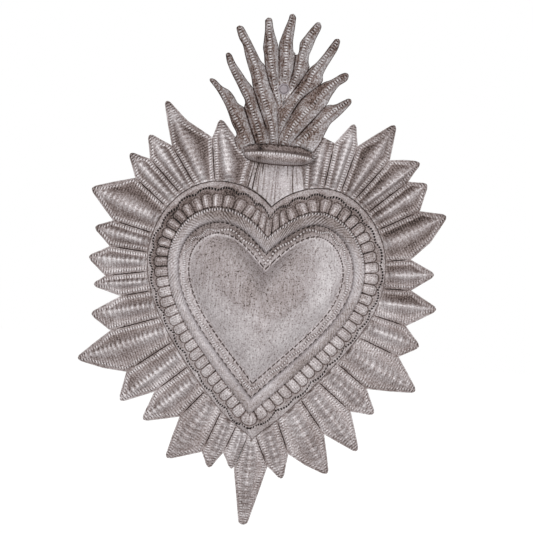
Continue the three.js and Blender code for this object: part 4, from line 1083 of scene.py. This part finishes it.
# Collar. A fat hollow roll with a dished rim above it, worked up from one strip and tapered to both ends; a
# stitched row runs along its shoulder, and two tabs go through flames and seat and fold over behind.
COLLAR_HALF, COLLAR_RISE, COLLAR_ROUND = 34.5, 11.5, 2.8
COLLAR_COLUMNS, COLLAR_END = 181, 0.985  # the roll stops just short of its pointed ends
COLLAR_SECTION = [  # heights above the middle and rises, as shares, from the upper rim down
    (0.5, FLAME_RISE / COLLAR_RISE), (0.4, 0.26), (0.21, 0.28), (0.12, 0.72), (0.03, 0.93), (-0.14, 1),
    (-0.33, 0.8), (-0.5, 0),
]
COLLAR_STITCH, COLLAR_DASH, COLLAR_DASH_LENGTH, COLLAR_STROKE = 2.6, 4.2, 2.8, 1.9
COLLAR_BLOTS = [(-16, 5.5), (-17, -6), (28, -5)]  # across, and above the middle
section = curve_through(COLLAR_SECTION, 0.03)
collar_share = np.linspace(-COLLAR_END, COLLAR_END, COLLAR_COLUMNS)
collar_full = (1 - np.abs(collar_share) ** COLLAR_ROUND) ** (1 / COLLAR_ROUND)
height = section[:, :1] * COLLAR_HEIGHT + 0 * collar_share
collar_x = CROWN_X + collar_share * COLLAR_HALF + 0 * height
collar_places = np.dstack([collar_x, COLLAR_Z + height * collar_full])
collar_base = COLLAR_RIM + section[:, 1:] * collar_full * COLLAR_RISE
below_row = 0.9 - 3.5 * np.abs(collar_share) ** 3 - height
stitched = ridge(below_row, 0.9)
stitch_on = collar_x % COLLAR_STITCH < 0.6 * COLLAR_STITCH
collar_dash = ridge(height - 9.6, 0.7) * (collar_x % COLLAR_DASH < COLLAR_DASH_LENGTH)
strokes = np.cos(2 * pi * collar_x / COLLAR_STROKE) * ease(2, 0, height)
collar_level = layered(
    collar_base, (np.where(stitch_on, 0.5, -0.3), stitched), (-0.3, collar_dash), (0.07, strokes),
)
collar_tarnish = layered(
    0.36,
    # painted shade: darker above the stitched row, in the dished groove under the rim
    (0.32, ease(-0.9, -1.9, below_row)),
    (np.where(stitch_on, -0.55, 0.2), stitched),
    (0.3, collar_dash),
    (-0.1, ridge(below_row - 2, 1.2)),
    (0.2, ridge(height + 4, 2.6) * ease(0.95, 0.5, np.abs(collar_share))),
    (-0.1, ridge(height + 7.6, 1.2)),
    (0.5, ease(-8.6, -10.3, height)),
    (0.09, strokes),
    *((0.25, near(np.dstack([collar_x, height]), *blot, 3.2)) for blot in COLLAR_BLOTS),
)
roll = press(collar_places, collar_level, collar_base, collar_tarnish,
             kept(len(section), 3), kept(COLLAR_COLUMNS, 6))
COLLAR_TAB_X, COLLAR_TAB_LIFT = 18, -1
collar_tabs = [
    folded_tab(np.array([CROWN_X + side * COLLAR_TAB_X, COLLAR_Z + COLLAR_TAB_LIFT]), np.array([0, -1]))
    for side in (-1, 1)
]
make_piece("collar_band", [roll, *collar_tabs], chased_steel)

# Hanger. A flat-headed steel rivet through the flames, a washer under its head, a strip folded round the bar
# of a wire ring behind, and the ring that goes over a hook in the wall.
PLAIN_SHARP = radians(40)
TURNED_SIDES = 64
RIVET_UP = -COLLAR_Z  # along the leaning sheet from the collar's middle
# Rolled mild steel: never chased, so it looks even and cool grey beside the sheets
PLAIN_TONES = [(0.0, "#cfc9cc"), (0.35, "#aaa2a6"), (0.7, "#80767a"), (1.0, "#3c3435")]
plain_steel = patinated_steel(
    "rolled_mild_steel", PLAIN_TONES, cloud=(9, 0.3), speck=(1.4, 0.25), stroke=(0.9, 0.25),
    pits=0.1, worn=0.42,
)


def leant(x, up, depth):
    """A place by the flames' sheet: across, up along it from the collar's middle, and before its back."""
    z = COLLAR_Z + up * cos(FLAME_LEAN) - depth * sin(FLAME_LEAN)
    level = FLAME_SEAT + up * sin(FLAME_LEAN) + depth * cos(FLAME_LEAN)
    return np.stack([x, -level, z], -1).reshape(-1, 3) / METRE


def rows_round(rows, sides, closed):
    """Faces of a skin of rows that each run round; closed joins the last row to the first, or else the ends
    are capped."""
    at = np.arange(rows * sides).reshape(rows, sides)
    at = np.column_stack([at, at[:, 0]])
    if closed:
        return quads(np.vstack([at, at[:1]]))
    return [*quads(at), at[0, :-1].tolist(), at[-1, :-1][::-1].tolist()]


def plain_piece(name, points, faces, body, tarnish=0):
    """A plain steel piece in place of the solid of that name."""
    mesh = bpy.data.meshes.new(name)
    mesh.from_pydata(points.tolist(), [], faces)
    work = bmesh.new()
    work.from_mesh(mesh)
    bmesh.ops.recalc_face_normals(work, faces=work.faces)
    work.to_mesh(mesh)
    work.free()
    stand_in(name, "plain", mesh, np.zeros(len(points)) + tarnish, PLAIN_SHARP, plain_steel, body)


def turned(name, profile, closed):
    """A piece turned about the rivet's axis: its profile in radii, depths in front of the sheet's back, and
    tarnish."""
    radius, depth, tone = np.array(profile, float).T[:, :, None]
    angle = np.arange(TURNED_SIDES) * 2 * pi / TURNED_SIDES
    points = leant(CROWN_X + radius * np.sin(angle), RIVET_UP + radius * np.cos(angle), depth + 0 * angle)
    faces = rows_round(len(profile), TURNED_SIDES, closed)
    plain_piece(name, points, faces, "plaque", (tone + 0 * angle).ravel())


WASHER_BACK, WASHER_SHEET = SHEET + LAP_GAP, 0.6
WASHER_FACE = WASHER_BACK + WASHER_SHEET
HEAD_FOOT = WASHER_FACE + LAP_GAP
TAIL_FOOT = -2 * SHEET - 3 * LAP_GAP
turned("hanger_rivet", [
    (2.6, HEAD_FOOT + 1.2, 0.05), (3.5, HEAD_FOOT + 1.14, 0.05), (3.95, HEAD_FOOT + 0.9, 0.1),
    (4.2, HEAD_FOOT + 0.5, 0.35), (4.2, HEAD_FOOT, 0.4), (2, HEAD_FOOT, 0.6), (2, TAIL_FOOT, 0),
    (3.4, TAIL_FOOT, 0), (3.3, TAIL_FOOT - 0.6, 0), (2.7, TAIL_FOOT - 1, 0),
], False)
turned("rivet_washer", [
    (2.3, WASHER_FACE, 0.4), (4.4, WASHER_FACE, 0.4), (4.8, WASHER_FACE, 0), (5.5, WASHER_FACE, 0),
    (5.8, WASHER_FACE - 0.2, 0.2), (5.8, WASHER_BACK, 0.4), (2.3, WASHER_BACK, 0.4),
], True)

WIRE_RADIUS, WIRE_SIDES = 1.2, 16
RING_HALF, RING_CORNER, RING_LENGTH = 7.2, 2, 24
BAR_UP, BAR_DEPTH = RIVET_UP + 7.5, -(LAP_GAP + SHEET + WIRE_RADIUS + LAP_GAP)
corner_turn, bow_turn = np.linspace(0, pi / 2, 9), np.linspace(0, pi, 41)
ring_x = np.concatenate([
    RING_HALF - RING_CORNER + RING_CORNER * np.sin(corner_turn), RING_HALF * np.cos(bow_turn),
    RING_CORNER - RING_HALF - RING_CORNER * np.cos(corner_turn),
])
ring_up = np.concatenate([
    RING_CORNER * (np.cos(corner_turn) - 1), RING_HALF - RING_LENGTH - RING_HALF * np.sin(bow_turn),
    RING_CORNER * (np.sin(corner_turn) - 1),
])
ahead_x, ahead_up = (np.roll(axis, -1) - np.roll(axis, 1) for axis in (ring_x, ring_up))
stride = np.hypot(ahead_x, ahead_up)
wire_turn = np.arange(WIRE_SIDES) * 2 * pi / WIRE_SIDES
wire_x = ring_x[:, None] - (ahead_up / stride)[:, None] * WIRE_RADIUS * np.cos(wire_turn)
wire_up = ring_up[:, None] + (ahead_x / stride)[:, None] * WIRE_RADIUS * np.cos(wire_turn)
wire_depth = WIRE_RADIUS * np.sin(wire_turn) + 0 * wire_x
ring_points = leant(CROWN_X + wire_x, BAR_UP + wire_up, BAR_DEPTH + wire_depth)
plain_piece("hanging_ring", ring_points, rows_round(len(ring_x), WIRE_SIDES, True), "ring")

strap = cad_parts["hanger_strap"]
strap.data.materials.clear()
strap.data.materials.append(plain_steel)

# Studio. A plain pale floor under the hanging, a soft key light from low in front, and an even white room.
FLOOR_DROP, FLOOR_SIZE = 25, 12000
floor_level = (cad_bounds[0][2] * METRE - FLOOR_DROP) / METRE
floor_half = FLOOR_SIZE / METRE / 2
floor_corners = [
    (x * floor_half, y * floor_half, floor_level) for x, y in ((-1, -1), (1, -1), (1, 1), (-1, 1))
]
floor_mesh = bpy.data.meshes.new("floor")
floor_mesh.from_pydata(floor_corners, [], [(0, 1, 2, 3)])
floor = place_object("floor", floor_mesh)


def seen_directly(tree):
    """1 for a ray from the camera, or one that metal mirrors or glass passes on."""
    light_path = add_node(tree, "ShaderNodeLightPath", {}).outputs
    mirrored = add_node(tree, "ShaderNodeMath", {
        0: light_path["Is Camera Ray"], 1: light_path["Is Glossy Ray"],
    }, operation="MAXIMUM").outputs[0]
    return add_node(tree, "ShaderNodeMath",
                    {0: mirrored, 1: light_path["Is Transmission Ray"]}, operation="MAXIMUM").outputs[0]


# Matt paper: no gloss at all, only white, with a soft grey where the hanging's shadow falls
PAPER_GLOW = 0.95  # the rest of its white is the light that falls on it, so a shadow still shows
paper = bpy.data.materials.new("matt_white_paper")
paper.use_nodes = True
paper_tree = paper.node_tree
paper_tree.nodes.clear()
matt = add_node(paper_tree, "ShaderNodeBsdfDiffuse", {"Color": linear("#dedede")}).outputs[0]
faint = add_node(paper_tree, "ShaderNodeBsdfDiffuse", {"Color": linear("#6b6b6b")}).outputs[0]
glow = add_node(paper_tree, "ShaderNodeEmission", {"Strength": PAPER_GLOW}).outputs[0]
shown = add_node(paper_tree, "ShaderNodeAddShader", {0: faint, 1: glow}).outputs[0]
either = add_node(paper_tree, "ShaderNodeMixShader", {
    0: seen_directly(paper_tree), 1: matt, 2: shown,
}).outputs[0]
add_node(paper_tree, "ShaderNodeOutputMaterial", {"Surface": either})
floor_mesh.materials.append(paper)

ROOM_LIGHT = 0.5  # what the room gives the hanging, while the camera sees it as plain white
world = bpy.data.worlds.new("white_room")
world.use_nodes = True
world_tree = world.node_tree
world_tree.nodes.clear()
strength = add_node(world_tree, "ShaderNodeMapRange", {
    "Value": seen_directly(world_tree), "To Min": ROOM_LIGHT, "To Max": 1.0,
}).outputs["Result"]
room = add_node(world_tree, "ShaderNodeBackground", {
    "Color": linear("#ffffff"), "Strength": strength,
}).outputs[0]
add_node(world_tree, "ShaderNodeOutputWorld", {"Surface": room})
bpy.context.scene.world = world

LAMPS = [  # name, place in metres, size in metres, power in watts
    ("key_light", (0.35, -1.5, -0.6), 1.1, 18),
    ("fill_light", (-1.0, -1.8, 0.9), 1.4, 9),
    ("back_light", (0.6, 1.8, 0.8), 1.6, 14),
]
lamp_target = np.array([0, 0, aim_z / METRE])
for name, place, size, power in LAMPS:
    lamp = place_object(name, bpy.data.lights.new(name, "AREA"))
    lamp.data.size = size
    lamp.data.energy = power
    lamp.location = place
    lamp.visible_camera = False
    lamp.rotation_euler = Vector(lamp_target - np.array(place)).to_track_quat("-Z", "Y").to_euler()

bpy.context.scene.view_settings.view_transform = "Standard"
